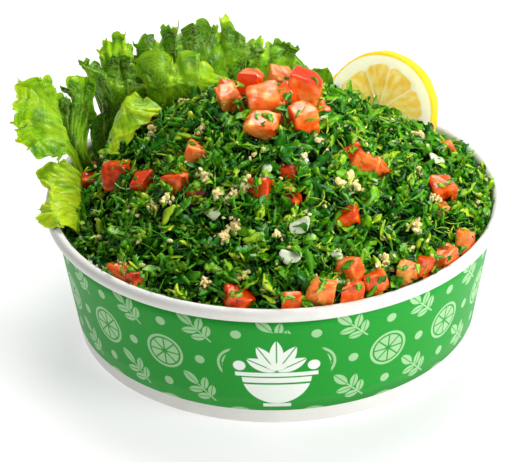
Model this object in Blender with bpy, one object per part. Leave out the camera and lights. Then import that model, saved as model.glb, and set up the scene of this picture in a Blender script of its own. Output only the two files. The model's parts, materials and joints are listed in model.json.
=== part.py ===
"""Tabbouleh salad in its round paper bowl, with lettuce, a lemon slice and diced tomato.

Sizes below are in millimetres and are turned into metres when a mesh is made.  The row frame has
+Z up and its origin on the table, under the middle of the whole; the bowl's own axis stands
BOWL_AXIS_X beside it, because the lettuce leans out over one side of the rim.
"""
import math

import bmesh
import bpy
import numpy as np
from mathutils import Euler, Vector

MM = 0.001

# The bowl: a slightly conical paper wall, a rolled rim, a folded hem and a raised bottom disc.
BOWL_AXIS_X = 6.95
RIM_RADIUS = 92.5
RIM_HEIGHT = 57.8
ROLL_HALF_WIDTH = 2.2
ROLL_HALF_HEIGHT = 2.7
FOOT_RADIUS = 80.8
WALL_TOP_RADIUS = 88.8
WALL_THICKNESS = 0.8
HEM_THICKNESS = 1.8
BASE_HEIGHT = 6.0
BASE_THICKNESS = 0.8
BOWL_SEGMENTS = 64
GAP = 0.3

# The heap: a cone with a broad round top, uneven by a few millimetres.
HEAP_PEAK = 94.5
HEAP_SLOPE = 0.745
HEAP_ROUND = 45.0
HEAP_FRONT_LIFT = 1.6
HEAP_RIGHT_DROP = 2.4
HEAP_LEFT_DROP = 4.5
HEAP_BUMP = 1.1
HEAP_SEGMENTS = 60
HEAP_RINGS = 15
LETTUCE_TROUGH = 6.0

# The lemon slice: a round slice cut straight across, leaning back in the salad.
LEMON_RADIUS = 24.6
LEMON_THICKNESS = 7.0
LEMON_EDGE = 0.8
LEMON_FACE_CENTRE = (44.2, 51.5, 66.8)
LEMON_TURN = 24.0
LEMON_LEAN = 20.0
LEMON_SEGMENTS = 48

# The diced tomato on top: centre, size and turn of each die.
DIE_BEVEL = 0.9
TOMATO_DICE = (
    ((-17.6, 6.4, 97.0), (8.2, 7.6, 7.6), (8, -14, 25)),
    ((-9.0, 15.6, 98.4), (8.8, 7.4, 9.8), (-10, 6, -12)),
    ((2.6, 18.0, 98.2), (8.2, 8.2, 10.4), (12, 8, 12)),
    ((13.0, 8.6, 99.6), (12.4, 11.0, 11.4), (-8, 12, -20)),
    ((-3.8, -1.6, 99.9), (11.6, 9.4, 9.0), (14, -6, 10)),
    ((-4.4, -15.0, 95.4), (11.8, 8.6, 8.0), (18, 4, -8)),
    ((12.0, -12.6, 96.3), (9.4, 8.2, 11.2), (10, -8, 22)),
)

# The lettuce: each leaf is a sheet from a base curve to a frilled margin.
LEAF_THICKNESS = 1.8
LEAF_ROWS = 6
RUFFLE = 2.3
RUFFLE_LENGTH = 15.0
LOBE_DEPTH = 2.2
LEAVES = {
    "lettuce_left": {
        "base": ((-84, 13, 62), (-83, 23, 61.5), (-78, 34, 62), (-72, 43, 62)),
        "margin": ((-95, 14, 66), (-102, 16, 76), (-104.5, 22, 87), (-98, 30, 93),
                   (-91, 36, 90), (-86, 41, 88), (-79, 45, 91), (-72, 46.5, 86)),
        "bulge": (-3, 2, 3)},
    "lettuce_rim": {
        "base": ((-80, 9, 59.5), (-81, -3, 58.5), (-80, -15, 57.5), (-75, -31, 56.2)),
        "margin": ((-93.5, 9, 67), (-93, -2, 65.5), (-89.5, -15, 63), (-82, -32, 61)),
        "bulge": (0, 0, 2.5)},
    "lettuce_fold": {
        "base": ((-62, 52, 61), (-48, 60, 62.5), (-30, 67, 63.5), (-12, 71, 64)),
        "margin": ((-76, 53, 88), (-65, 50.5, 92), (-50, 49, 93.5), (-38, 51, 92),
                   (-27, 56, 80), (-15, 61, 75)),
        "bulge": (-2, 2, 4)},
    "lettuce_tongue": {
        "base": ((-76.5, 27, 64), (-70, 36, 69), (-65, 42, 77)),
        "margin": ((-67.5, 24, 66.5), (-59, 31, 69), (-50.5, 38.5, 74), (-55.5, 43, 80)),
        "bulge": (1, -2, 3)},
    "lettuce_back": {
        "base": ((-62, 60, 60), (-40, 74, 60), (-12, 82, 60), (10, 82, 60), (26, 78, 59)),
        "margin": ((-74, 64, 88), (-64, 66, 95), (-50, 70, 92.5), (-28, 72, 97.5),
                   (-9, 73, 91.5), (4, 75, 85), (15, 76, 77), (27, 75, 69)),
        "bulge": (-1, 3, 0)},
    "lettuce_tip": {
        "base": ((10, 41, 84.2), (17, 42, 83.8), (24, 40, 82.6)),
        "margin": ((11, 41, 88), (18, 40, 90), (25.5, 38, 87)),
        "bulge": (0, 2, 0)},
}

# Colours and finish of each sub-part: colour, roughness.
PAPER_WHITE = ((0.86, 0.86, 0.84), 0.45)
PARSLEY_GREEN = ((0.045, 0.14, 0.02), 0.5)
LEMON_YELLOW = ((0.85, 0.66, 0.12), 0.35)
TOMATO_RED = ((0.75, 0.12, 0.035), 0.3)
LETTUCE_GREEN = ((0.24, 0.46, 0.035), 0.4)


def clear_scene():
    """Remove every object that the scene starts with."""
    for old in list(bpy.data.objects):
        bpy.data.objects.remove(old, do_unlink=True)


def make_material(name, finish):
    """Make a Principled material of one colour and roughness."""
    colour, roughness = finish
    material = bpy.data.materials.new(name)
    material.use_nodes = True
    shader = material.node_tree.nodes["Principled BSDF"]
    shader.inputs["Base Color"].default_value = (*colour, 1.0)
    shader.inputs["Roughness"].default_value = roughness
    shader.inputs["Metallic"].default_value = 0.0
    return material


def add_object(name, mesh, finish, sharp_angle=35.0):
    """Link a mesh as a named object with its own material, shaded smooth."""
    made = bpy.data.objects.new(name, mesh)
    bpy.context.scene.collection.objects.link(made)
    mesh.materials.append(make_material(name, finish))
    mesh.shade_smooth()
    mesh.set_sharp_from_angle(angle=math.radians(sharp_angle))
    return made


def mesh_from_points(name, points, faces):
    """Make a mesh from points in millimetres round the bowl's axis, with all faces outward."""
    placed = (np.asarray(points, float) + (BOWL_AXIS_X, 0.0, 0.0)) * MM
    mesh = bpy.data.meshes.new(name)
    mesh.from_pydata(placed.tolist(), [], [tuple(face) for face in faces])
    work = bmesh.new()
    work.from_mesh(mesh)
    bmesh.ops.recalc_face_normals(work, faces=work.faces)
    work.to_mesh(mesh)
    work.free()
    return mesh


def turned_mesh(name, profile, segments):
    """Turn a profile of (radius, height) round the axis; a radius of 0 becomes one pole."""
    angles = np.linspace(0.0, 2 * math.pi, segments, endpoint=False)
    points, rows = [], []
    for radius, height in profile:
        first = len(points)
        if radius == 0.0:
            points.append((0.0, 0.0, height))
            rows.append([first] * segments)
        else:
            points += [(radius * math.cos(a), radius * math.sin(a), height) for a in angles]
            rows.append(list(range(first, first + segments)))
    closed = profile[0][0] > 0.0
    pairs = list(zip(rows, rows[1:])) + ([(rows[-1], rows[0])] if closed else [])
    faces = []
    for low, high in pairs:
        for i in range(segments):
            j = (i + 1) % segments
            corners = [low[i], low[j], high[j], high[i]]
            faces.append(list(dict.fromkeys(corners)))
    return mesh_from_points(name, points, faces)


def wall_outer_radius(height):
    """Radius of the wall's outer side at a height."""
    top = RIM_HEIGHT - 2 * ROLL_HALF_HEIGHT
    return FOOT_RADIUS + (WALL_TOP_RADIUS - FOOT_RADIUS) * height / top


def wall_inner_radius(height):
    """Radius of the wall's inner side at a height, above the hem."""
    return wall_outer_radius(height) - WALL_THICKNESS


def build_bowl():
    """The wall with its rolled rim and folded hem, and the raised bottom disc."""
    roll_radius = RIM_RADIUS - ROLL_HALF_WIDTH
    roll_height = RIM_HEIGHT - ROLL_HALF_HEIGHT
    steps = 10
    roll = []
    for i in range(steps + 1):
        angle = math.radians(180.0 - 300.0 * i / steps)
        roll.append((roll_radius + ROLL_HALF_WIDTH * math.cos(angle),
                     roll_height + ROLL_HALF_HEIGHT * math.sin(angle)))
    hem_top = BASE_HEIGHT - GAP
    under_roll = RIM_HEIGHT - 2 * ROLL_HALF_HEIGHT
    profile = [(wall_outer_radius(0.0), 0.0), (wall_outer_radius(0.0) - HEM_THICKNESS, 0.0),
               (wall_outer_radius(hem_top) - HEM_THICKNESS, hem_top),
               (wall_inner_radius(hem_top), hem_top)]
    profile += roll
    profile.append((wall_outer_radius(under_roll - 1.0), under_roll - 1.0))
    add_object("bowl_wall", turned_mesh("bowl_wall", profile, BOWL_SEGMENTS), PAPER_WHITE)

    base_radius = wall_inner_radius(BASE_HEIGHT) - GAP
    base_top = BASE_HEIGHT + BASE_THICKNESS
    disc = [(0.0, BASE_HEIGHT), (base_radius, BASE_HEIGHT), (base_radius, base_top), (0.0, base_top)]
    add_object("bowl_base", turned_mesh("bowl_base", disc, BOWL_SEGMENTS), PAPER_WHITE)


def heap_height(x, y):
    """Height of the salad over a place: a rounded cone, with waves and a trough for the lettuce."""
    radius = np.hypot(x, y)
    turn = np.arctan2(y, x)
    share = radius / WALL_TOP_RADIUS
    height = HEAP_PEAK - HEAP_SLOPE * (np.hypot(radius, HEAP_ROUND) - HEAP_ROUND)
    height += HEAP_FRONT_LIFT * share ** 3 * np.maximum(-np.sin(turn), 0.0)
    height -= HEAP_RIGHT_DROP * share ** 6 * np.maximum(np.cos(turn), 0.0)
    height -= HEAP_LEFT_DROP * share ** 3 * np.maximum(-np.cos(turn), 0.0)
    behind = np.clip((np.sin(turn - math.radians(30.0)) + 0.25) / 0.5, 0.0, 1.0)
    edge = np.clip((radius - 66.0) / 14.0, 0.0, 1.0)
    height -= LETTUCE_TROUGH * behind * edge * edge * (3.0 - 2.0 * edge)
    waves = np.sin(x / 7.1 + 0.6) * np.sin(y / 6.3) + 0.7 * np.sin(x / 4.3 - y / 5.2 + 1.0)
    return height + HEAP_BUMP * waves * np.clip((82.0 - radius) / 20.0, 0.0, 1.0)


def build_heap():
    """The heap of chopped salad: it fills the bowl and rises in the middle."""
    bottom = BASE_HEIGHT + BASE_THICKNESS + GAP
    angles = np.linspace(0.0, 2 * math.pi, HEAP_SEGMENTS, endpoint=False)
    points = [(0.0, 0.0, bottom)]
    rows = []

    def add_row(radii, heights):
        first = len(points)
        points.extend(zip(radii * np.cos(angles), radii * np.sin(angles), heights))
        rows.append(list(range(first, first + HEAP_SEGMENTS)))

    low = wall_inner_radius(bottom) - 2 * GAP
    add_row(np.full(HEAP_SEGMENTS, low), np.full(HEAP_SEGMENTS, bottom))
    edge_radius = wall_inner_radius(52.0) - 2 * GAP
    for share in np.linspace(1.0, 0.0, HEAP_RINGS, endpoint=False) ** 0.8:
        radii = np.full(HEAP_SEGMENTS, edge_radius * share)
        heights = heap_height(radii * np.cos(angles), radii * np.sin(angles))
        if share == 1.0:
            radii = np.minimum(wall_inner_radius(heights), wall_inner_radius(55.0)) - 2 * GAP
        add_row(radii, heights)
    points.append((0.0, 0.0, float(heap_height(0.0, 0.0))))
    peak = len(points) - 1

    faces = []
    for i in range(HEAP_SEGMENTS):
        j = (i + 1) % HEAP_SEGMENTS
        faces.append((0, rows[0][j], rows[0][i]))
        for inner, outer in zip(rows, rows[1:]):
            faces.append((inner[i], inner[j], outer[j], outer[i]))
        faces.append((rows[-1][i], rows[-1][j], peak))
    return add_object("tabbouleh", mesh_from_points("tabbouleh", points, faces), PARSLEY_GREEN, 60.0)


def lemon_turn():
    """The slice's turn: its axis points to the front, leaning up and a little to one side."""
    return Euler((math.radians(90.0 - LEMON_LEAN), 0.0, math.radians(-LEMON_TURN)), "XYZ")


def lemon_mesh(name, grow):
    """A round slice with slightly eased edges, its front face centred on LEMON_FACE_CENTRE."""
    radius = LEMON_RADIUS + grow
    half = LEMON_THICKNESS / 2 + grow
    ease = LEMON_EDGE
    profile = [(0.0, -half), (radius - ease, -half), (radius, -half + ease),
               (radius, half - ease), (radius - ease, half), (0.0, half)]
    mesh = turned_mesh(name, profile, LEMON_SEGMENTS)
    turn = lemon_turn().to_matrix()
    middle = Vector(LEMON_FACE_CENTRE) - turn @ Vector((0.0, 0.0, LEMON_THICKNESS / 2))
    axis = Vector((BOWL_AXIS_X, 0.0, 0.0))
    for vertex in mesh.vertices:
        vertex.co = (turn @ (vertex.co / MM - axis) + middle + axis) * MM
    return mesh


def build_lemon():
    """The lemon slice."""
    add_object("lemon_slice", lemon_mesh("lemon_slice", 0.0), LEMON_YELLOW)


def die_mesh(name, centre, size, turn, grow):
    """A tomato die: a bevelled block whose corners taper a little, turned and set in place."""
    work = bmesh.new()
    bmesh.ops.create_cube(work, size=1.0)
    for vertex in work.verts:
        x, y, z = vertex.co
        taper = 1.0 + 0.12 * math.sin(7.0 * x + 5.0 * y + centre[0]) - 0.10 * z
        vertex.co = Vector((x * (size[0] + grow) * taper, y * (size[1] + grow) * taper,
                            z * (size[2] + grow)))
    bmesh.ops.bevel(work, geom=work.edges[:], offset=DIE_BEVEL, segments=1, affect="EDGES")
    bmesh.ops.triangulate(work, faces=work.faces[:])
    tilt = Euler([math.radians(angle) for angle in turn], "XYZ").to_matrix()
    points = [tuple(tilt @ vertex.co + Vector(centre)) for vertex in work.verts]
    faces = [[vertex.index for vertex in face.verts] for face in work.faces]
    work.free()
    return mesh_from_points(name, points, faces)


def build_tomatoes():
    """The seven tomato dice piled on the peak."""
    for number, (centre, size, turn) in enumerate(TOMATO_DICE, start=1):
        name = f"tomato_dice_{number}"
        add_object(name, die_mesh(name, centre, size, turn, 0.0), TOMATO_RED)


def curve_through(points, count):
    """Points at even steps of a Catmull-Rom curve through a few given points."""
    knots = np.asarray(points, float)
    padded = np.vstack([2 * knots[0] - knots[1], knots, 2 * knots[-1] - knots[-2]])
    place = np.linspace(0.0, len(knots) - 1.0, count)
    part = np.minimum(place.astype(int), len(knots) - 2)
    t = (place - part)[:, None]
    a, b, c, d = (padded[part + shift] for shift in range(4))
    return 0.5 * (2 * b + (c - a) * t + (2 * a - 5 * b + 4 * c - d) * t ** 2
                  + (3 * b - a - 3 * c + d) * t ** 3)


def leaf_mesh(name, leaf, thickness):
    """A frilled sheet of even thickness.

    Each row runs from the base curve to the margin along a quadratic arch whose middle is pushed
    out by the leaf's bulge.  Ruffles push the sheet along its normal, more towards the margin.
    """
    length = np.linalg.norm(np.diff(curve_through(leaf["margin"], 40), axis=0), axis=1).sum()
    waves = max(1, round(length / RUFFLE_LENGTH))
    count = waves * 4 + 1
    s = np.linspace(0.0, 1.0, count)[:, None, None]
    t = np.linspace(0.0, 1.0, LEAF_ROWS)[None, :, None]
    base = curve_through(leaf["base"], count)[:, None, :]
    margin = curve_through(leaf["margin"], count)[:, None, :]
    reach = margin - base
    lobes = LOBE_DEPTH * (np.abs(np.sin(math.pi * waves * s)) - 0.6)
    margin = margin + reach / np.linalg.norm(reach, axis=2, keepdims=True) * lobes
    middle = (base + margin) / 2 + np.asarray(leaf["bulge"], float)
    sheet = (1 - t) ** 2 * base + 2 * t * (1 - t) * middle + t ** 2 * margin
    normal = sheet_normals(sheet)
    ruffle = RUFFLE * t ** 1.5 * np.sin(2 * math.pi * waves * s + 0.8)
    sheet = sheet + normal * ruffle
    normal = sheet_normals(sheet)
    return shell_mesh(name, sheet + normal * thickness / 2, sheet - normal * thickness / 2)


def sheet_normals(sheet):
    """Unit normals of a grid of points."""
    normal = np.cross(np.gradient(sheet, axis=0), np.gradient(sheet, axis=1))
    return normal / np.linalg.norm(normal, axis=2, keepdims=True)


def shell_mesh(name, front, back):
    """Close two matching grids of points into one body."""
    rows, columns = front.shape[:2]
    index = np.arange(rows * columns).reshape(rows, columns)
    other = index + rows * columns
    faces = []
    for i in range(rows - 1):
        for j in range(columns - 1):
            faces.append((index[i, j], index[i + 1, j], index[i + 1, j + 1], index[i, j + 1]))
            faces.append((other[i, j], other[i, j + 1], other[i + 1, j + 1], other[i + 1, j]))
    rim = [(i, 0) for i in range(rows)] + [(rows - 1, j) for j in range(1, columns)]
    rim += [(i, columns - 1) for i in range(rows - 2, -1, -1)]
    rim += [(0, j) for j in range(columns - 2, 0, -1)]
    for one, two in zip(rim, rim[1:] + rim[:1]):
        faces.append((index[one], other[one], other[two], index[two]))
    points = np.concatenate([front.reshape(-1, 3), back.reshape(-1, 3)])
    return mesh_from_points(name, points, [[int(corner) for corner in face] for face in faces])


def build_lettuce():
    """The lettuce leaves tucked in along the back and one side of the bowl."""
    for name, leaf in LEAVES.items():
        add_object(name, leaf_mesh(name, leaf, LEAF_THICKNESS), LETTUCE_GREEN, 60.0)


def cut_heap(heap):
    """Cut the heap clear of the lemon slice, the tomato dice and the leaves that press into it."""
    cutters = [lemon_mesh("cut_lemon", GAP)]
    for number, (centre, size, turn) in enumerate(TOMATO_DICE, start=1):
        cutters.append(die_mesh(f"cut_die_{number}", centre, size, turn, 2 * GAP))
    for name, leaf in LEAVES.items():
        cutters.append(leaf_mesh(f"cut_{name}", leaf, LEAF_THICKNESS + 2 * GAP))
    for mesh in cutters:
        cutter = bpy.data.objects.new(mesh.name, mesh)
        bpy.context.scene.collection.objects.link(cutter)
        cutter.hide_render = True
        cutter.display_type = "WIRE"
        cut = heap.modifiers.new(mesh.name, "BOOLEAN")
        cut.operation = "DIFFERENCE"
        cut.solver = "EXACT"
        cut.object = cutter


def main():
    """Build every sub-part."""
    clear_scene()
    build_bowl()
    heap = build_heap()
    build_lemon()
    build_tomatoes()
    build_lettuce()
    cut_heap(heap)


main()
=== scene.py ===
"""Looks of a tabbouleh salad in its printed paper bowl.

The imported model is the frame: the bowl, the heap, the lettuce, the lemon slice and the diced tomato
stand where it says.  Shapes here are worked out in millimetres round the bowl's own axis, as whole
arrays, and are put into the row frame in metres by Bench.to_row.
"""
from __future__ import annotations

import json
import logging
import math
from dataclasses import dataclass, field
from enum import Enum

import bpy
import numpy as np
from mathutils import Matrix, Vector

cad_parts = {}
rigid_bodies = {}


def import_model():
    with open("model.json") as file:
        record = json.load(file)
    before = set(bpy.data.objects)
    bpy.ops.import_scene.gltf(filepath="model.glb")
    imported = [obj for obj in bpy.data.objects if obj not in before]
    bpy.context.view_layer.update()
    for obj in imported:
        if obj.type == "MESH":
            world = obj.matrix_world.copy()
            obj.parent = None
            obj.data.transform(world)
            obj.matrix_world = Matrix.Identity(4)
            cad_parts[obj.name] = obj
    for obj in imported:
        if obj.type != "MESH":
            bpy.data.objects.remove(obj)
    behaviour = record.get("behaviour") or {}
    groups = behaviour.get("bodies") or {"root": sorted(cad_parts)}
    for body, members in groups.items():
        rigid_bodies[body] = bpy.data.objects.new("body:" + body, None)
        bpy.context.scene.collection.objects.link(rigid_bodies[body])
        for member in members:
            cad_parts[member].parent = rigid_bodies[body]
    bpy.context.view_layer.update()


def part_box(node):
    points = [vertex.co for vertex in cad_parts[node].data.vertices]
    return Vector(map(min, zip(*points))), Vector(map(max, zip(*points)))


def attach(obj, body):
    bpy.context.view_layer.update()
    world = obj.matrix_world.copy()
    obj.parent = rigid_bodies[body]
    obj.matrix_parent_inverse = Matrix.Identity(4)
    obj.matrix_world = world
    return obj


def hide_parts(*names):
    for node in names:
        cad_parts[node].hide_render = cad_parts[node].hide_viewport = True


LOG = logging.getLogger("tabbouleh")
MM = 0.001
TAU = 2.0 * math.pi
Array = np.ndarray


class Slot(Enum):
    """The record's material slots."""

    PAPER = "paper"
    SALAD = "salad"
    LEMON = "lemon"
    TOMATO = "tomato"
    LETTUCE = "lettuce"


class Shading(Enum):
    """How a mesh's faces meet the light."""

    SMOOTH = True
    FACETED = False


def paint(red: float, green: float, blue: float) -> tuple[float, float, float, float]:
    """Turn a colour of 0 to 255 screen values into the linear colour that a shader takes.

    Args:
        red, green, blue: Screen values.

    Returns:
        Linear red, green and blue, and an alpha of 1.
    """
    linear = [((v / 255 + 0.055) / 1.055) ** 2.4 if v > 10.3 else v / 255 / 12.92
              for v in (red, green, blue)]
    return (linear[0], linear[1], linear[2], 1.0)


def smoothstep(low: float, high: float, value: Array) -> Array:
    """Rise from 0 at low to 1 at high along an S curve, 3t^2 - 2t^3."""
    share = np.clip((value - low) / (high - low), 0.0, 1.0)
    return share * share * (3.0 - 2.0 * share)


def curve_through(points: tuple, count: int) -> Array:
    """Take even steps along a Catmull-Rom curve through a few given points.

    Args:
        points: The points, or whole rows of points, that the curve passes.
        count: How many steps to take.

    Returns:
        An array of count points or rows.
    """
    knots = np.asarray(points, float)
    padded = np.concatenate([2 * knots[:1] - knots[1:2], knots, 2 * knots[-1:] - knots[-2:-1]])
    place = np.linspace(0.0, len(knots) - 1.0, count)
    part = np.minimum(place.astype(int), len(knots) - 2)
    t = (place - part).reshape([-1] + [1] * (knots.ndim - 1))
    a, b, c, d = (padded[part + shift] for shift in range(4))
    return 0.5 * (2 * b + (c - a) * t + (2 * a - 5 * b + 4 * c - d) * t ** 2
                  + (3 * b - a - 3 * c + d) * t ** 3)


def swell(points: Array, pitch: float, seed: int, octaves: int = 3) -> Array:
    """Smooth noise about -1 to 1: sines along random directions, each octave twice as fine.

    Args:
        points: Places, with the coordinates on the last axis.
        pitch: Length of the coarsest wave.
        seed: Which noise.
        octaves: How many sizes of wave.

    Returns:
        One value for each place.
    """
    rng = np.random.default_rng(seed)
    total = np.zeros(points.shape[:-1])
    for octave in range(octaves):
        for _ in range(5):
            way = rng.normal(size=points.shape[-1])
            way *= TAU / pitch * 2.0 ** octave / np.linalg.norm(way) * rng.uniform(0.7, 1.4)
            total += np.sin(points @ way + rng.uniform(0, TAU)) * 0.6 ** octave / 2.4
    return total


def grid_normals(sheet: Array) -> Array:
    """Unit normals of a grid of points: the cross product of its two directions."""
    normal = np.cross(np.gradient(sheet, axis=0), np.gradient(sheet, axis=1))
    return normal / np.maximum(np.linalg.norm(normal, axis=2, keepdims=True), 1e-9)


def grid_quads(rows: int, columns: int, wrap: bool = False) -> Array:
    """Corner numbers of the quads of a grid, closed along its columns if wrap is true."""
    index = np.arange(rows * columns).reshape(rows, columns)
    if wrap:
        index = np.hstack([index, index[:, :1]])
    return np.stack([index[:-1, :-1], index[:-1, 1:], index[1:, 1:], index[1:, :-1]], -1).reshape(-1, 4)


@dataclass
class Bench:
    """Puts arrays into Blender as pieces of the object."""

    axis_x: float
    axis_y: float
    pieces: int = 0

    def to_row(self, points: Array) -> Array:
        """Turn millimetres round the bowl's axis into metres in the row frame."""
        return (points + np.array([self.axis_x, self.axis_y, 0.0])) * MM

    def make(self, name: str, points: Array, faces: list[Array], material: bpy.types.Material,
             slot: Slot, shading: Shading = Shading.SMOOTH, values: dict[str, Array] | None = None,
             maps: dict[str, Array] | None = None) -> bpy.types.Object:
        """Make one piece from arrays.

        Args:
            name: The piece's name.
            points: Its points, in millimetres round the bowl's axis.
            faces: Arrays of corner numbers, each of one number of corners a face.
            material: Its finish.
            slot: The material slot that it belongs to; not used.
            shading: Smooth or faceted.
            values: Named numbers, one a point, that the finish reads.
            maps: Named UV maps, one pair a face corner.

        Returns:
            The piece, which rides on the root body.
        """
        mesh = bpy.data.meshes.new(name)
        placed = self.to_row(np.asarray(points, float).reshape(-1, 3)).astype(np.float32)
        mesh.vertices.add(len(placed))
        mesh.vertices.foreach_set("co", placed.ravel())
        corners = np.concatenate([f.ravel() for f in faces]).astype(np.int32)
        sides = np.concatenate([np.full(len(f), f.shape[1]) for f in faces])
        mesh.loops.add(len(corners))
        mesh.loops.foreach_set("vertex_index", corners)
        mesh.polygons.add(len(sides))
        starts = np.concatenate([[0], np.cumsum(sides)[:-1]]).astype(np.int32)
        mesh.polygons.foreach_set("loop_start", starts)
        mesh.update(calc_edges=True)
        for key, numbers in (values or {}).items():
            store = mesh.attributes.new(key, "FLOAT", "POINT")
            store.data.foreach_set("value", np.asarray(numbers, np.float32).ravel())
        for key, pairs in (maps or {}).items():
            layer = mesh.uv_layers.new(name=key)
            layer.data.foreach_set("uv", np.asarray(pairs, np.float32).ravel())
        mesh.polygons.foreach_set("use_smooth", np.full(len(sides), shading.value))
        mesh.materials.append(material)
        mesh.validate()
        piece = bpy.data.objects.new(name, mesh)
        bpy.context.scene.collection.objects.link(piece)
        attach(piece, "root")
        triangles = int((sides - 2).sum())
        self.pieces += 1
        LOG.info("%s: %d triangles", name, triangles)
        return piece


class Shader:
    """A node tree with short ways to add nodes; sockets go in and a socket comes out."""

    def __init__(self, tree: bpy.types.NodeTree) -> None:
        """Keep the tree."""
        self.tree = tree

    def node(self, kind: str, inputs: dict | None = None, **settings: object) -> bpy.types.Node:
        """Add a node.

        Args:
            kind: Blender's name of the node type.
            inputs: Sockets or constants for its inputs, by name or number.
            settings: Its own settings.

        Returns:
            The node.
        """
        made = self.tree.nodes.new(kind)
        for key, value in settings.items():
            setattr(made, key, value)
        for key, value in (inputs or {}).items():
            if isinstance(value, bpy.types.NodeSocket):
                self.tree.links.new(value, made.inputs[key])
            else:
                made.inputs[key].default_value = value
        return made

    def math(self, operation: str, *terms: object, clamp: bool = False) -> bpy.types.NodeSocket:
        """Work out one number from sockets or constants."""
        return self.node("ShaderNodeMath", dict(enumerate(terms)), operation=operation,
                         use_clamp=clamp).outputs[0]

    def less(self, first: object, second: object) -> bpy.types.NodeSocket:
        """Take the second number from the first."""
        return self.math("SUBTRACT", first, second)

    def times(self, first: object, second: object) -> bpy.types.NodeSocket:
        """Multiply two numbers."""
        return self.math("MULTIPLY", first, second)

    def size(self, value: object) -> bpy.types.NodeSocket:
        """Drop a number's sign."""
        return self.math("ABSOLUTE", value)

    def vector(self, operation: str, *terms: object) -> bpy.types.NodeSocket:
        """Work out one vector from sockets or constants."""
        return self.node("ShaderNodeVectorMath", dict(enumerate(terms)), operation=operation).outputs[0]

    def length(self, vector: object) -> bpy.types.NodeSocket:
        """Measure a vector."""
        return self.node("ShaderNodeVectorMath", {0: vector}, operation="LENGTH").outputs["Value"]

    def split(self, vector: object) -> tuple:
        """Take a vector apart into x, y and z."""
        return tuple(self.node("ShaderNodeSeparateXYZ", {0: vector}).outputs)

    def mix(self, share: object, first: object, second: object) -> bpy.types.NodeSocket:
        """Mix two colours by a share."""
        return self.node("ShaderNodeMix", {0: share, 6: first, 7: second}, data_type="RGBA").outputs[2]

    def value(self, name: str) -> bpy.types.NodeSocket:
        """Read a piece's named numbers."""
        return self.node("ShaderNodeAttribute", attribute_name=name).outputs["Fac"]

    def uv(self, name: str) -> bpy.types.NodeSocket:
        """Read a piece's UV map."""
        return self.node("ShaderNodeUVMap", uv_map=name).outputs["UV"]

    def place(self) -> bpy.types.NodeSocket:
        """Read Object coordinates."""
        return self.node("ShaderNodeTexCoord").outputs["Object"]

    def noise(self, scale: float, detail: float = 3.0, place: object = None) -> bpy.types.NodeSocket:
        """Make noise of a scale on Object coordinates, or on the given ones."""
        inputs = {"Vector": place or self.place(), "Scale": scale, "Detail": detail}
        return self.node("ShaderNodeTexNoise", inputs).outputs["Fac"]

    def ramp(self, share: object, stops: tuple) -> bpy.types.NodeSocket:
        """Look a number up along a row of colours."""
        made = self.node("ShaderNodeValToRGB", {0: share})
        band = made.color_ramp
        while len(band.elements) < len(stops):
            band.elements.new(0.5)
        for element, (position, colour) in zip(band.elements, stops):
            element.position = position
            element.color = colour
        return made.outputs["Color"]

    def span(self, value: object, low: float, high: float) -> bpy.types.NodeSocket:
        """Rise from 0 at low to 1 at high."""
        inputs = {"Value": value, "From Min": low, "From Max": high}
        return self.node("ShaderNodeMapRange", inputs, clamp=True).outputs["Result"]

    def group(self, tree: bpy.types.NodeTree, **inputs: object) -> bpy.types.Node:
        """Place a shared effect with its own values."""
        return self.node("ShaderNodeGroup", inputs, node_tree=tree)


def new_group(name: str, inputs: dict[str, tuple[str, object]], outputs: dict[str, str]
              ) -> tuple[bpy.types.NodeTree, Shader, bpy.types.Node, bpy.types.Node]:
    """Start a shared effect.

    Args:
        name: The group's name.
        inputs: Socket type and first value of each input, by name.
        outputs: Socket type of each output, by name.

    Returns:
        The group, a Shader on it, and its input and output nodes.
    """
    tree = bpy.data.node_groups.new(name, "ShaderNodeTree")
    for key, (kind, first) in inputs.items():
        made = tree.interface.new_socket(key, in_out="INPUT", socket_type=kind)
        made.default_value = first
    for key, kind in outputs.items():
        tree.interface.new_socket(key, in_out="OUTPUT", socket_type=kind)
    entry = tree.nodes.new("NodeGroupInput")
    leave = tree.nodes.new("NodeGroupOutput")
    return tree, Shader(tree), entry, leave


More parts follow.
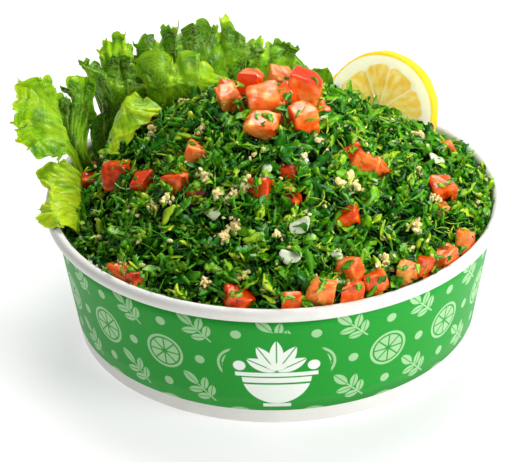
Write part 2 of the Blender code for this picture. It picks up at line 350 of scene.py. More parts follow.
class Effects:
    """The shared effects: mottled colour, fine relief and leaf veins."""

    def __init__(self) -> None:
        """Build each effect once."""
        self.mottle = self.build_mottle()
        self.relief = self.build_relief()
        self.veins = self.build_veins()

    @staticmethod
    def build_veins() -> bpy.types.NodeTree:
        """Ribs that run up a blade, herringbone branches off them, and a fine net between.

        The blade's map is in millimetres: along its margin, and up from its root.
        """
        tree, shader, entry, leave = new_group(
            "Veins", {"Blade": ("NodeSocketVector", (0.0, 0.0, 0.0)), "Pitch": ("NodeSocketFloat", 13.0)},
            {"Ribs": "NodeSocketFloat", "Net": "NodeSocketFloat"})
        drift = shader.node("ShaderNodeTexNoise", {"Vector": entry.outputs["Blade"], "Scale": 0.13,
                                                   "Detail": 2.0}).outputs["Color"]
        shifted = shader.vector("MULTIPLY_ADD", drift, (9.0, 9.0, 0.0), entry.outputs["Blade"])
        along, up, _ = shader.split(shifted)

        def off_line(value: object, pitch: object) -> bpy.types.NodeSocket:
            """How far a number is from the nearest of a row of lines a pitch apart."""
            part = shader.math("FRACT", shader.math("DIVIDE", value, pitch))
            return shader.times(shader.size(shader.less(part, 0.5)), pitch)

        off_rib = off_line(along, entry.outputs["Pitch"])
        off_branch = off_line(shader.less(up, shader.times(off_rib, 1.3)), 4.6)
        rib = shader.less(1.0, shader.span(off_rib, 0.15, 0.55))
        branch = shader.less(1.0, shader.span(off_branch, 0.06, 0.34))
        net = shader.node("ShaderNodeTexVoronoi", {"Vector": shifted, "Scale": 0.55},
                          feature="DISTANCE_TO_EDGE").outputs["Distance"]
        ribs = shader.math("MAXIMUM", rib, shader.times(branch, 0.6))
        tree.links.new(ribs, leave.inputs["Ribs"])
        tree.links.new(shader.less(1.0, shader.span(net, 0.0, 0.14)), leave.inputs["Net"])
        return tree

    @staticmethod
    def build_mottle() -> bpy.types.NodeTree:
        """Two colours mixed by soft noise of a scale, with a given contrast."""
        colour = ("NodeSocketColor", (0.5, 0.5, 0.5, 1.0))
        tree, shader, entry, leave = new_group(
            "Mottle", {"Light": colour, "Dark": colour, "Scale": ("NodeSocketFloat", 100.0),
                       "Contrast": ("NodeSocketFloat", 2.0)},
            {"Colour": "NodeSocketColor", "Mask": "NodeSocketFloat"})
        centred = shader.less(shader.noise(entry.outputs["Scale"]), 0.5)
        mask = shader.math("MULTIPLY_ADD", centred, entry.outputs["Contrast"], 0.5, clamp=True)
        tree.links.new(shader.mix(mask, entry.outputs["Dark"], entry.outputs["Light"]),
                       leave.inputs["Colour"])
        tree.links.new(mask, leave.inputs["Mask"])
        return tree

    @staticmethod
    def build_relief() -> bpy.types.NodeTree:
        """A normal roughened by noise of a scale, of a given depth in metres."""
        tree, shader, entry, leave = new_group(
            "Relief", {"Scale": ("NodeSocketFloat", 800.0), "Depth": ("NodeSocketFloat", 0.0002)},
            {"Normal": "NodeSocketVector"})
        bump = shader.node("ShaderNodeBump", {"Height": shader.noise(entry.outputs["Scale"], 4.0),
                                              "Distance": entry.outputs["Depth"], "Strength": 1.0})
        tree.links.new(bump.outputs["Normal"], leave.inputs["Normal"])
        return tree


@dataclass(frozen=True)
class Finish:
    """What every finish shares: a name, the Principled shader's plain values and a fine relief."""

    name: str
    roughness: float = 0.4
    subsurface: float = 0.0
    subsurface_radius: tuple[float, float, float] = (0.5, 1.0, 0.3)
    subsurface_scale: float = 0.001
    specular: float = 0.5
    relief_scale: float = 900.0
    relief_depth: float = 0.00003

    def draw(self, shader: Shader, effects: Effects) -> dict[str, bpy.types.NodeSocket]:
        """Draw what changes over the surface; each finish has its own.

        Args:
            shader: The material's tree.
            effects: The shared effects.

        Returns:
            A socket for each input of the Principled shader that it feeds.
        """
        raise NotImplementedError

    def build(self, effects: Effects) -> bpy.types.Material:
        """Make the material: the values that are the same all over, then what is drawn."""
        material = bpy.data.materials.new(self.name)
        material.use_nodes = True
        principled = material.node_tree.nodes["Principled BSDF"]
        plain = {"Roughness": self.roughness, "Subsurface Weight": self.subsurface,
                 "Subsurface Radius": self.subsurface_radius, "Subsurface Scale": self.subsurface_scale,
                 "Specular IOR Level": self.specular}
        for key, value in plain.items():
            principled.inputs[key].default_value = value
        shader = Shader(material.node_tree)
        drawn = self.draw(shader, effects)
        if "Normal" not in drawn:
            relief = shader.group(effects.relief, Scale=self.relief_scale, Depth=self.relief_depth)
            drawn["Normal"] = relief.outputs["Normal"]
        for key, socket in drawn.items():
            material.node_tree.links.new(socket, principled.inputs[key])
        return material


@dataclass(frozen=True)
class PaperFinish(Finish):
    """White coated paperboard with a faint mottle and a fine tooth."""

    light: tuple = paint(236, 235, 229)
    dark: tuple = paint(229, 228, 221)

    def draw(self, shader: Shader, effects: Effects) -> dict[str, bpy.types.NodeSocket]:
        """Mottle the white."""
        mottle = shader.group(effects.mottle, Light=self.light, Dark=self.dark, Scale=90.0, Contrast=2.0)
        return {"Base Color": mottle.outputs["Colour"]}


@dataclass(frozen=True)
class Stencil:
    """Flat shapes as masks, drawn on a map in millimetres."""

    shader: Shader
    place: object

    def soft(self, inside: object) -> bpy.types.NodeSocket:
        """Turn a depth in millimetres inside an edge into a mask with a soft edge."""
        return self.shader.math("MULTIPLY_ADD", inside, 5.0, 0.5, clamp=True)

    def moved(self, x: float, y: float, turn: float = 0.0) -> bpy.types.NodeSocket:
        """Coordinates round a point, turned by degrees."""
        inputs = {"Vector": self.place, "Location": (x, y, 0.0),
                  "Rotation": (0.0, 0.0, math.radians(turn))}
        return self.shader.node("ShaderNodeMapping", inputs, vector_type="TEXTURE").outputs[0]

    def disc(self, x: float, y: float, radius: float) -> bpy.types.NodeSocket:
        """A round spot: the radius less the distance from its middle."""
        return self.soft(self.shader.less(radius, self.shader.length(self.moved(x, y))))

    def bar(self, x: float, y: float, half_x: float, half_y: float) -> bpy.types.NodeSocket:
        """A straight bar: inside both half widths."""
        across, along, _ = self.shader.split(self.moved(x, y))
        insides = [self.shader.less(half, self.shader.size(off))
                   for half, off in ((half_x, across), (half_y, along))]
        return self.soft(self.shader.math("MINIMUM", *insides))

    def leaf(self, x: float, y: float, turn: float, length: float, width: float, rib: float = 0.35
             ) -> bpy.types.NodeSocket:
        """A pointed leaf from a point upward: where two equal circles overlap, less its midrib."""
        shader = self.shader
        across, along, _ = shader.split(self.moved(x, y, turn))
        off = shader.size(across)
        radius = (length ** 2 + width ** 2) / (4.0 * width)
        side = shader.math("ADD", off, radius - width / 2)
        together = shader.node("ShaderNodeCombineXYZ", {0: side, 1: shader.less(along, length / 2)})
        blade = self.soft(shader.less(radius, shader.length(together.outputs[0])))
        return shader.times(blade, self.soft(shader.less(off, rib / 2)))

    def wheel(self, radius: float) -> bpy.types.NodeSocket:
        """A lemon wheel: a ring round a disc that is cut into eight by rays."""
        shader = self.shader
        across, along, _ = shader.split(self.place)
        distance = shader.length(self.place)
        ring = self.soft(shader.less(0.55, shader.size(shader.less(distance, radius - 0.4))))
        angle = shader.math("ARCTAN2", along, across)
        wave = shader.size(shader.math("SINE", shader.times(angle, 4.0)))
        wedge = self.soft(shader.less(shader.times(shader.times(wave, distance), 0.25), 0.3))
        disc = self.soft(shader.less(radius - 1.7, distance))
        return shader.math("MAXIMUM", ring, shader.times(wedge, disc))

    def union(self, masks: list) -> bpy.types.NodeSocket:
        """Cover what any of the masks covers."""
        total = masks[0]
        for mask in masks[1:]:
            total = self.shader.math("MAXIMUM", total, mask)
        return total

    def sprig(self) -> bpy.types.NodeSocket:
        """A stem with one leaf at its end and two pairs beside it."""
        pairs = [self.leaf(0.0, height, turn, length, 3.2)
                 for height, length in ((-0.6, 6.8), (-4.6, 6.0)) for turn in (55.0, -55.0)]
        return self.union([self.bar(0.0, -2.4, 0.32, 5.0), self.leaf(0.0, 2.4, 0.0, 8.2, 4.0), *pairs])

    def emblem(self) -> bpy.types.NodeSocket:
        """A salad bowl with five leaves and two round tomatoes."""
        shader = self.shader
        _, along, _ = shader.split(self.place)
        below = self.soft(shader.less(-1.6, along))
        line = self.soft(shader.less(shader.size(shader.math("ADD", along, 4.6)), 0.45))
        body = shader.times(shader.times(self.disc(0.0, -1.0, 13.5), below), line)
        leaves = [self.leaf(0.0, 1.6, turn, length, 5.4, 0.5) for turn, length in (
            (62.0, 13.0), (31.0, 14.5), (0.0, 15.5), (-31.0, 14.5), (-62.0, 13.0))]
        rounds = [self.disc(side * 14.2, 4.2, 2.4) for side in (-1.0, 1.0)]
        return self.union([body, self.bar(0.0, 0.0, 16.0, 0.95), self.bar(0.0, -15.4, 5.5, 0.8),
                           *leaves, *rounds])


@dataclass(frozen=True)
class PrintFinish(Finish):
    """The green print: pale sprigs and lemon wheels on a tilted lattice, a white salad bowl in front.

    The UV map Print gives millimetres: along the wall from the front, and up from the table.
    """

    relief_depth: float = 0.00002
    green: tuple = paint(24, 152, 42)
    pale: tuple = paint(160, 206, 150)
    white: tuple = paint(240, 247, 236)
    cell: float = 21.0
    tilt: float = 45.0
    emblem_height: float = 25.0
    emblem_clear: float = 21.0

    def draw(self, shader: Shader, effects: Effects) -> dict[str, bpy.types.NodeSocket]:
        """Print the lattice round the wall and the emblem in its clear place."""
        place = shader.uv("Print")
        inputs = {"Vector": place, "Rotation": (0.0, 0.0, math.radians(self.tilt)),
                  "Scale": (self.cell, self.cell, 1.0)}
        lattice = shader.node("ShaderNodeMapping", inputs, vector_type="TEXTURE").outputs[0]
        centred = shader.vector("ADD", shader.vector("FRACTION", lattice), (-0.5, -0.5, 0.0))
        cell = Stencil(shader, shader.vector("MULTIPLY", centred, (self.cell, self.cell, 0.0)))
        column, row, _ = shader.split(shader.vector("FLOOR", lattice))
        odd = shader.math("FLOORED_MODULO", shader.math("ADD", column, row), 2.0)
        sprigs = shader.times(cell.sprig(), shader.less(1.0, odd))
        wheels = shader.times(cell.wheel(7.8), odd)
        half = self.cell / 2
        dots = [cell.disc(x, y, 2.0) for x in (-half, half) for y in (-half, half)]
        pattern = cell.union([sprigs, wheels, *dots])
        front = Stencil(shader, Stencil(shader, place).moved(0.0, self.emblem_height))
        clear = front.soft(shader.less(shader.length(front.place), self.emblem_clear))
        field_green = shader.mix(shader.times(pattern, clear), self.green, self.pale)
        return {"Base Color": shader.mix(front.emblem(), field_green, self.white)}


@dataclass(frozen=True)
class HerbFinish(Finish):
    """Moist chopped herbs: the piece's tone runs from near-black painted shade through leaf greens to a
    yellow green that paints lit leaf.
    """

    relief_scale: float = 1500.0
    relief_depth: float = 0.00012
    # The lowest stops are painted shade for the deep layers and the core; the highest is painted light on the
    # top layers.
    stops: tuple = ((0.0, paint(1, 10, 1)), (0.22, paint(8, 50, 2)), (0.46, paint(36, 122, 3)),
                    (0.72, paint(94, 170, 6)), (1.0, paint(188, 218, 44)))

    def draw(self, shader: Shader, effects: Effects) -> dict[str, bpy.types.NodeSocket]:
        """Colour each bit by its tone, with small patches."""
        patch = shader.math("MULTIPLY_ADD", shader.noise(500.0, 2.0), 0.3, -0.15)
        return {"Base Color": shader.ramp(shader.math("ADD", shader.value("tone"), patch), self.stops)}


@dataclass(frozen=True)
class GrainFinish(Finish):
    """Small pale food such as bulgur or onion: two colours by the piece's tone, slightly mottled."""

    relief_scale: float = 1800.0
    relief_depth: float = 0.0001
    light: tuple = paint(255, 238, 176)
    dark: tuple = paint(232, 202, 116)

    def draw(self, shader: Shader, effects: Effects) -> dict[str, bpy.types.NodeSocket]:
        """Mix the two colours."""
        mottle = shader.group(effects.mottle, Light=(1.0, 1.0, 1.0, 1.0), Dark=(0.0, 0.0, 0.0, 1.0),
                              Scale=900.0, Contrast=1.4)
        share = shader.math("MULTIPLY_ADD", mottle.outputs["Mask"], 0.35, shader.value("tone"))
        return {"Base Color": shader.mix(shader.math("SUBTRACT", share, 0.17, clamp=True),
                                         self.dark, self.light)}


@dataclass(frozen=True)
class TomatoFinish(Finish):
    """Cut tomato: wet orange-red flesh with pale streaks, and smooth deeper red skin on one side."""

    relief_scale: float = 700.0
    relief_depth: float = 0.00022
    deep: tuple = paint(150, 30, 2)
    flesh: tuple = paint(238, 78, 0)
    pale: tuple = paint(255, 172, 76)
    skin: tuple = paint(230, 60, 0)

    def draw(self, shader: Shader, effects: Effects) -> dict[str, bpy.types.NodeSocket]:
        """Streak the flesh and lay the skin over it."""
        streak = shader.node("ShaderNodeMapping", {"Vector": shader.place(), "Scale": (1.0, 1.0, 1.5),
                                                   "Rotation": (0.5, 0.3, 0.0)}).outputs[0]
        veins = shader.span(shader.noise(210.0, 3.0, streak), 0.46, 0.74)
        share = shader.math("MULTIPLY_ADD", shader.value("tone"), 0.45, shader.times(veins, 0.4))
        flesh = shader.ramp(shader.math("ADD", share, 0.3),
                            ((0.0, self.deep), (0.32, self.flesh), (1.0, self.pale)))
        return {"Base Color": shader.mix(shader.value("skin"), flesh, self.skin)}


@dataclass(frozen=True)
class LemonFinish(Finish):
    """A cut lemon: the piece gives masks for the rind, the pith and the membranes."""

    relief_scale: float = 700.0
    relief_depth: float = 0.00025
    flesh: tuple = paint(255, 212, 88)
    sac: tuple = paint(255, 232, 158)
    pith: tuple = paint(255, 243, 222)
    rind: tuple = paint(248, 198, 12)

    def draw(self, shader: Shader, effects: Effects) -> dict[str, bpy.types.NodeSocket]:
        """Lay the pith and the rind over flesh with long sacs; the pith is the duller."""
        stretched = shader.node("ShaderNodeMapping", {"Vector": shader.uv("Face"),
                                                      "Scale": (46.0, 5.0, 1.0)}).outputs[0]
        sacs = shader.span(shader.noise(1.0, 2.0, stretched), 0.4, 0.66)
        inner = shader.mix(shader.value("pith"), shader.mix(sacs, self.flesh, self.sac), self.pith)
        return {"Base Color": shader.mix(shader.value("rind"), inner, self.rind),
                "Roughness": shader.span(shader.value("pith"), -0.5, 1.6)}


@dataclass(frozen=True)
class LettuceFinish(Finish):
    """Fresh frilled lettuce: the piece's light value paints light and shade, from deep green in shade to a
    bright yellow green where the leaf is lit and light shines through it.
    """

    # The stops run from painted shade to painted light shining through the leaf.
    stops: tuple = ((0.0, paint(10, 52, 1)), (0.35, paint(58, 124, 2)), (0.7, paint(138, 192, 3)),
                    (1.0, paint(186, 218, 16)))
    vein: tuple = paint(204, 226, 84)

    def draw(self, shader: Shader, effects: Effects) -> dict[str, bpy.types.NodeSocket]:
        """Colour the blade by its painted light and shade, draw its veins and swell the blade between them.
        """
        patch = shader.math("MULTIPLY_ADD", shader.noise(60.0, 2.0), 0.7, -0.35)
        # The margin is painted lighter, as light shining through the thin edge.
        edge = shader.times(shader.span(shader.value("margin"), 0.93, 1.0), 0.3)
        light = shader.math("ADD", shader.math("ADD", shader.value("light"), patch), edge)
        veins = shader.group(effects.veins, Blade=shader.uv("Blade"), Pitch=12.0).outputs
        lines = shader.times(veins["Ribs"], shader.span(shader.value("margin"), 1.1, 0.2))
        share = shader.times(shader.math("MAXIMUM", lines, shader.times(veins["Net"], 0.5)), 0.65)
        swollen = shader.less(shader.noise(260.0, 3.0), shader.times(veins["Ribs"], 0.5))
        bump = shader.node("ShaderNodeBump", {"Height": swollen, "Distance": 0.00032, "Strength": 0.9})
        return {"Base Color": shader.mix(share, shader.ramp(light, self.stops), self.vein),
                "Normal": bump.outputs["Normal"]}


@dataclass
class HeapShape:
    """The salad's surface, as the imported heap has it: a rounded cone with waves and a trough.

    All sizes are in millimetres; the peak and the wall come from the frame.
    """

    peak: float
    wall_top: float
    slope: float = 0.745
    round: float = 45.0
    front_lift: float = 1.6
    right_drop: float = 2.4
    left_drop: float = 4.5
    bump: float = 1.1
    trough: float = 6.0

    def height(self, x: Array, y: Array) -> Array:
        """Height over a place: peak - slope * (sqrt(r^2 + round^2) - round), lifted and waved."""
        radius = np.hypot(x, y)
        turn = np.arctan2(y, x)
        share = radius / self.wall_top
        height = self.peak - self.slope * (np.hypot(radius, self.round) - self.round)
        height += self.front_lift * share ** 3 * np.maximum(-np.sin(turn), 0.0)
        height -= self.right_drop * share ** 6 * np.maximum(np.cos(turn), 0.0)
        height -= self.left_drop * share ** 3 * np.maximum(-np.cos(turn), 0.0)
        behind = np.clip((np.sin(turn - math.radians(30.0)) + 0.25) / 0.5, 0.0, 1.0)
        height -= self.trough * behind * smoothstep(66.0, 80.0, radius)
        waves = np.sin(x / 7.1 + 0.6) * np.sin(y / 6.3) + 0.7 * np.sin(x / 4.3 - y / 5.2 + 1.0)
        return height + self.bump * waves * np.clip((82.0 - radius) / 20.0, 0.0, 1.0)

    def normals(self, x: Array, y: Array) -> Array:
        """Unit normals, from the height's slope over one millimetre each way."""
        along_x = (self.height(x + 1.0, y) - self.height(x - 1.0, y)) / 2
        along_y = (self.height(x, y + 1.0) - self.height(x, y - 1.0)) / 2
        normal = np.stack([-along_x, -along_y, np.ones_like(along_x)], -1)
        return normal / np.linalg.norm(normal, axis=-1, keepdims=True)


@dataclass
class BowlShape:
    """The bowl's sizes in millimetres: the foot, rim and height come from the frame."""

    foot: float
    rim: float
    top: float
    roll_half_width: float = 2.2
    roll_half_height: float = 2.7
    wall_top: float = 88.8
    thickness: float = 0.8
    hem: float = 1.8
    base: float = 6.0

    @property
    def under_roll(self) -> float:
        """Height of the roll's underside."""
        return self.top - 2 * self.roll_half_height

    def outer(self, height: Array) -> Array:
        """Radius of the wall's outer side at a height: a straight cone."""
        return self.foot + (self.wall_top - self.foot) * height / self.under_roll

    def inner(self, height: Array) -> Array:
        """Radius of the wall's inner side at a height."""
        return self.outer(height) - self.thickness


@dataclass
class Bowl:
    """The paper bowl: wall with rolled rim and hem, raised bottom disc, and the printed sleeve."""

    bench: Bench
    shape: BowlShape
    paper: bpy.types.Material
    print: bpy.types.Material
    segments: int = 192
    seam_angle: float = math.radians(78.0)
    seam_width: float = 7.0
    seam_step: float = 0.28
    print_bottom: float = 6.8
    print_skin: float = 0.12
    print_rows: int = 3

    def seam(self, angles: Array) -> Array:
        """How far the lapped paper stands proud: a low step on a strip beside the seam."""
        arc = (angles - self.seam_angle) * self.shape.rim
        rise = smoothstep(0.0, 0.5, arc)
        fall = smoothstep(self.seam_width, self.seam_width - 0.5, arc)
        return self.seam_step * rise * fall

    def turned(self, profile: Array, proud: Array) -> Array:
        """Carry a profile of radius and height round the axis, pushed out by the seam's step.

        Args:
            profile: Pairs of radius and height.
            proud: How much of the seam's step each pair takes.

        Returns:
            A grid of points, profile by angle.
        """
        angles = np.linspace(0.0, TAU, self.segments, endpoint=False)
        radius = profile[:, :1] + proud[:, None] * self.seam(angles)[None, :]
        height = np.broadcast_to(profile[:, 1:], radius.shape)
        return np.stack([radius * np.cos(angles), radius * np.sin(angles), height], -1)

    def build_wall(self) -> None:
        """The wall: up the outer side, round the roll, down inside and round the folded hem."""
        shape = self.shape
        heights = np.linspace(1.0, shape.under_roll - 0.6, 14)
        outside = np.stack([shape.outer(heights), heights], 1)
        turn = np.radians(np.linspace(-140.0, 180.0, 26))
        middle = (shape.rim - shape.roll_half_width, shape.top - shape.roll_half_height)
        roll = np.stack([middle[0] + shape.roll_half_width * np.cos(turn),
                         middle[1] + shape.roll_half_height * np.sin(turn)], 1)
        inside_heights = np.linspace(shape.under_roll - 1.5, shape.base, 10)
        inside = np.stack([shape.inner(inside_heights), inside_heights], 1)
        hem = np.array([[shape.outer(5.6) - shape.hem, 5.6], [shape.outer(0.6) - shape.hem, 0.7],
                        [shape.foot - shape.hem + 0.5, 0.1], [shape.foot - 0.9, 0.0],
                        [shape.foot - 0.2, 0.25]])
        profile = np.concatenate([outside, roll, inside, hem])
        proud = np.concatenate([np.ones(len(outside)), np.full(len(roll), 0.6),
                                np.zeros(len(inside) + len(hem))])
        points = self.turned(profile, proud)
        faces = grid_quads(len(profile) + 1, self.segments, wrap=True)
        faces = faces % (len(profile) * self.segments)
        wall = self.bench.make("paper_wall", points, [faces], self.paper, Slot.PAPER)
        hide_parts("bowl_wall")

    def build_base(self) -> None:
        """The bottom disc: flat, with a pressed ring near its edge and its lip folded down."""
        shape = self.shape
        edge = float(shape.inner(shape.base)) - 0.3
        upper = [[0.0, 6.8], [edge * 0.5, 6.8], [edge - 8.0, 6.8], [edge - 6.5, 7.2], [edge - 5.0, 6.8],
                 [edge - 0.8, 6.8], [edge, 6.3]]
        lower = [[edge - 0.1, 1.4], [edge - 1.0, 1.2], [edge - 1.2, 5.6], [edge - 2.0, 6.0],
                 [edge - 5.0, 6.0], [edge - 6.5, 6.4], [edge - 8.0, 6.0], [edge * 0.5, 6.0], [0.0, 6.0]]
        lower[0][0] = lower[0][0] - 2.2
        lower[1][0] = lower[1][0] - 2.2
        lower[2][0] = lower[2][0] - 2.2
        lower[3][0] = lower[3][0] - 2.2
        profile = np.array(upper + [[edge - 0.6, 5.9], [edge - 2.1, 5.7]] + lower)
        profile[profile[:, 0] < 0.0, 0] = 0.0
        profile[0, 0] = profile[-1, 0] = 0.02
        points = self.turned(profile, np.zeros(len(profile)))
        rows = len(profile)
        faces = grid_quads(rows, self.segments, wrap=True)[:, ::-1]
        caps = [np.arange(self.segments)[None, :],
                (np.arange(self.segments) + (rows - 1) * self.segments)[None, ::-1]]
        base = self.bench.make("paper_base", points, [faces, *caps], self.paper, Slot.PAPER)
        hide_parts("bowl_base")

    def build_print(self) -> None:
        """The printed sleeve: a closed skin on the wall, mapped in millimetres and in three rows."""
        shape = self.shape
        rows, columns = 8, self.segments
        heights = np.linspace(self.print_bottom, shape.under_roll + 0.2, rows)
        outside = np.stack([shape.outer(heights) + self.print_skin, heights], 1)
        inside = np.stack([shape.outer(heights) - 0.2, heights], 1)[::-1]
        profile = np.concatenate([outside, inside])
        points = self.turned(profile, np.ones(len(profile)))
        faces = grid_quads(len(profile) + 1, columns, wrap=True) % (len(profile) * columns)
        strip = np.repeat(np.arange(len(profile)), columns)
        around = np.tile(np.arange(columns), len(profile))
        ring = np.stack([around, around + 1, around + 1, around], 1)
        level = np.stack([strip, strip, strip + 1, strip + 1], 1)
        turn = (ring / columns * 360.0 + 90.0 + 180.0) % 360.0 - 180.0
        turn = np.where(turn - turn[:, :1] < -180.0, turn + 360.0, turn)
        turn = np.where(turn - turn[:, :1] > 180.0, turn - 360.0, turn)
        arc = np.radians(turn) * (shape.foot + shape.wall_top) / 2
        tall = profile[level % len(profile), 1]
        outer_face = (strip < rows - 1)[:, None]
        per_row = columns // self.print_rows
        row = (ring[:, :1] // per_row).clip(0, self.print_rows - 1)
        along = (ring - row * per_row) / per_row * 0.97 + 0.015
        up = (tall - self.print_bottom) / (heights[-1] - self.print_bottom)
        packed_v = np.where(outer_face, 0.01 + row * 0.27 + up * 0.255, 0.85 + up * 0.1)
        packed_u = np.where(outer_face, along, ring / columns * 0.97 + 0.015)
        maps = {"Print": np.stack([arc, tall], -1), "OFBake": np.stack([packed_u, packed_v], -1)}
        self.bench.make("printed_sleeve", points, [faces], self.print, Slot.PAPER, maps=maps)

    def build(self) -> None:
        """Build the bowl's three pieces."""
        self.build_wall()
        self.build_base()
        self.build_print()


def cube_grid(steps: int) -> tuple[Array, Array]:
    """A cube of side 2 whose six faces are grids, with the points along its edges shared.

    Args:
        steps: Quads along each edge.

    Returns:
        Points and quads.
    """
    line = np.linspace(-1.0, 1.0, steps + 1)
    u, v = (part.ravel() for part in np.meshgrid(line, line, indexing="ij"))
    ones = np.ones_like(u)
    sides = [np.stack(side, 1) for side in (
        (ones, u, v), (-ones, v, u), (v, ones, u), (u, -ones, v), (u, v, ones), (v, u, -ones))]
    quads = grid_quads(steps + 1, steps + 1)[:, ::-1]
    points = np.concatenate(sides)
    faces = np.concatenate([quads + number * len(u) for number in range(6)])
    keys = np.round(points * steps * 4).astype(int)
    _, first, back = np.unique(keys, axis=0, return_index=True, return_inverse=True)
    return points[first], back.ravel()[faces]


def rotations(turns: Array) -> Array:
    """Rotation matrices for rows of x, y and z turns in degrees, applied in that order."""
    x, y, z = np.radians(np.asarray(turns, float)).T
    zero, one = np.zeros_like(x), np.ones_like(x)
    rx = np.array([[one, zero, zero], [zero, np.cos(x), -np.sin(x)], [zero, np.sin(x), np.cos(x)]])
    ry = np.array([[np.cos(y), zero, np.sin(y)], [zero, one, zero], [-np.sin(y), zero, np.cos(y)]])
    rz = np.array([[np.cos(z), -np.sin(z), zero], [np.sin(z), np.cos(z), zero], [zero, zero, one]])
    rx, ry, rz = (np.moveaxis(part, -1, 0) for part in (rx, ry, rz))
    return rz @ ry @ rx


@dataclass
class Die:
    """One cut die of tomato: centre, size and turn, and how its cut sides look."""

    centre: tuple[float, float, float]
    size: tuple[float, float, float]
    turn: tuple[float, float, float]
    skin_side: int = 0
    tone: float = 0.3


def dice_arrays(dice: list[Die], steps: int, seed: int, rough: float
                ) -> tuple[Array, Array, dict[str, Array]]:
    """Work out several dice at once.

    A die is a cube grid whose corners are rounded by a p-norm, tapered a little, made uneven by
    smooth noise, and bulged on its skin side.

    Args:
        dice: The dice.
        steps: Quads along each edge.
        seed: Which noise.
        rough: Depth of the unevenness in millimetres.

    Returns:
        Points, quads, and the tone and skin of each point.
    """
    unit, quads = cube_grid(steps)
    norm = (np.abs(unit) ** 14).sum(1, keepdims=True) ** (1 / 14)
    rounded = unit / norm
    points, faces, tones, skins = [], [], [], []
    rng = np.random.default_rng(seed)
    turns = rotations(np.array([die.turn for die in dice]))
    for number, (die, turn) in enumerate(zip(dice, turns)):
        size = np.array(die.size) / 2
        side = np.sign(die.skin_side)
        axis = max(abs(die.skin_side) - 1, 0)
        shaped = rounded * size
        shear = rng.uniform(-0.16, 0.16, 3)
        shaped = shaped + shaped[:, [1, 2, 0]] * shear
        for _ in range(3):
            way = rng.normal(size=3)
            way /= np.linalg.norm(way)
            depth = shaped @ way
            over = np.maximum(depth - depth.max() * rng.uniform(0.66, 0.9), 0.0)
            shaped = shaped - over[:, None] * way
        skin = smoothstep(0.72, 0.95, unit[:, axis] * side) if side else np.zeros(len(unit))
        uneven = swell(shaped + number * 31.0, 6.5, seed, 2)[:, None] * rounded * rough
        fine = swell(shaped + number * 17.0, 1.6, seed + 7, 2)[:, None] * rounded * rough * 0.16
        shaped = shaped + (uneven + fine) * (1.0 - 0.75 * skin[:, None])
        points.append(shaped @ turn.T + np.array(die.centre))
        faces.append(quads + number * len(unit))
        tones.append(die.tone + 0.25 * swell(shaped, 6.0, seed + number, 2))
        skins.append(skin)
    return (np.concatenate(points), np.concatenate(faces),
            {"tone": np.concatenate(tones), "skin": np.concatenate(skins)})


@dataclass
class TopTomatoes:
    """The seven dice on the peak; each one replaces its node."""

    bench: Bench
    finish: bpy.types.Material
    steps: int = 14
    dice: tuple[Die, ...] = (
        Die((-17.6, 6.4, 97.0), (8.2, 7.6, 7.6), (8, -14, 25), 0, 0.55),
        Die((-9.0, 15.6, 98.4), (8.8, 7.4, 9.8), (-10, 6, -12), -2, 0.15),
        Die((2.6, 18.0, 98.2), (8.2, 8.2, 10.4), (12, 8, 12), 0, 0.6),
        Die((13.0, 8.6, 99.6), (12.4, 11.0, 11.4), (-8, 12, -20), 3, 0.25),
        Die((-3.8, -1.6, 99.9), (11.6, 9.4, 9.0), (14, -6, 10), 0, 0.45),
        Die((-4.4, -15.0, 95.4), (11.8, 8.6, 8.0), (18, 4, -8), 0, 0.5),
        Die((12.0, -12.6, 96.3), (9.4, 8.2, 11.2), (10, -8, 22), -1, 0.35))

    @staticmethod
    def fuller(die: Die) -> Die:
        """The same die a little larger, to make up for its cut corners."""
        return Die(die.centre, tuple(1.1 * side for side in die.size), die.turn, die.skin_side, die.tone)

    def build(self) -> None:
        """Build each die."""
        for number, die in enumerate(self.dice, start=1):
            points, faces, values = dice_arrays([self.fuller(die)], self.steps, 40 + number, 0.16)
            piece = self.bench.make(f"tomato_top_{number}", points, [faces], self.finish, Slot.TOMATO,
                                    values=values)
            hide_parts(f"tomato_dice_{number}")


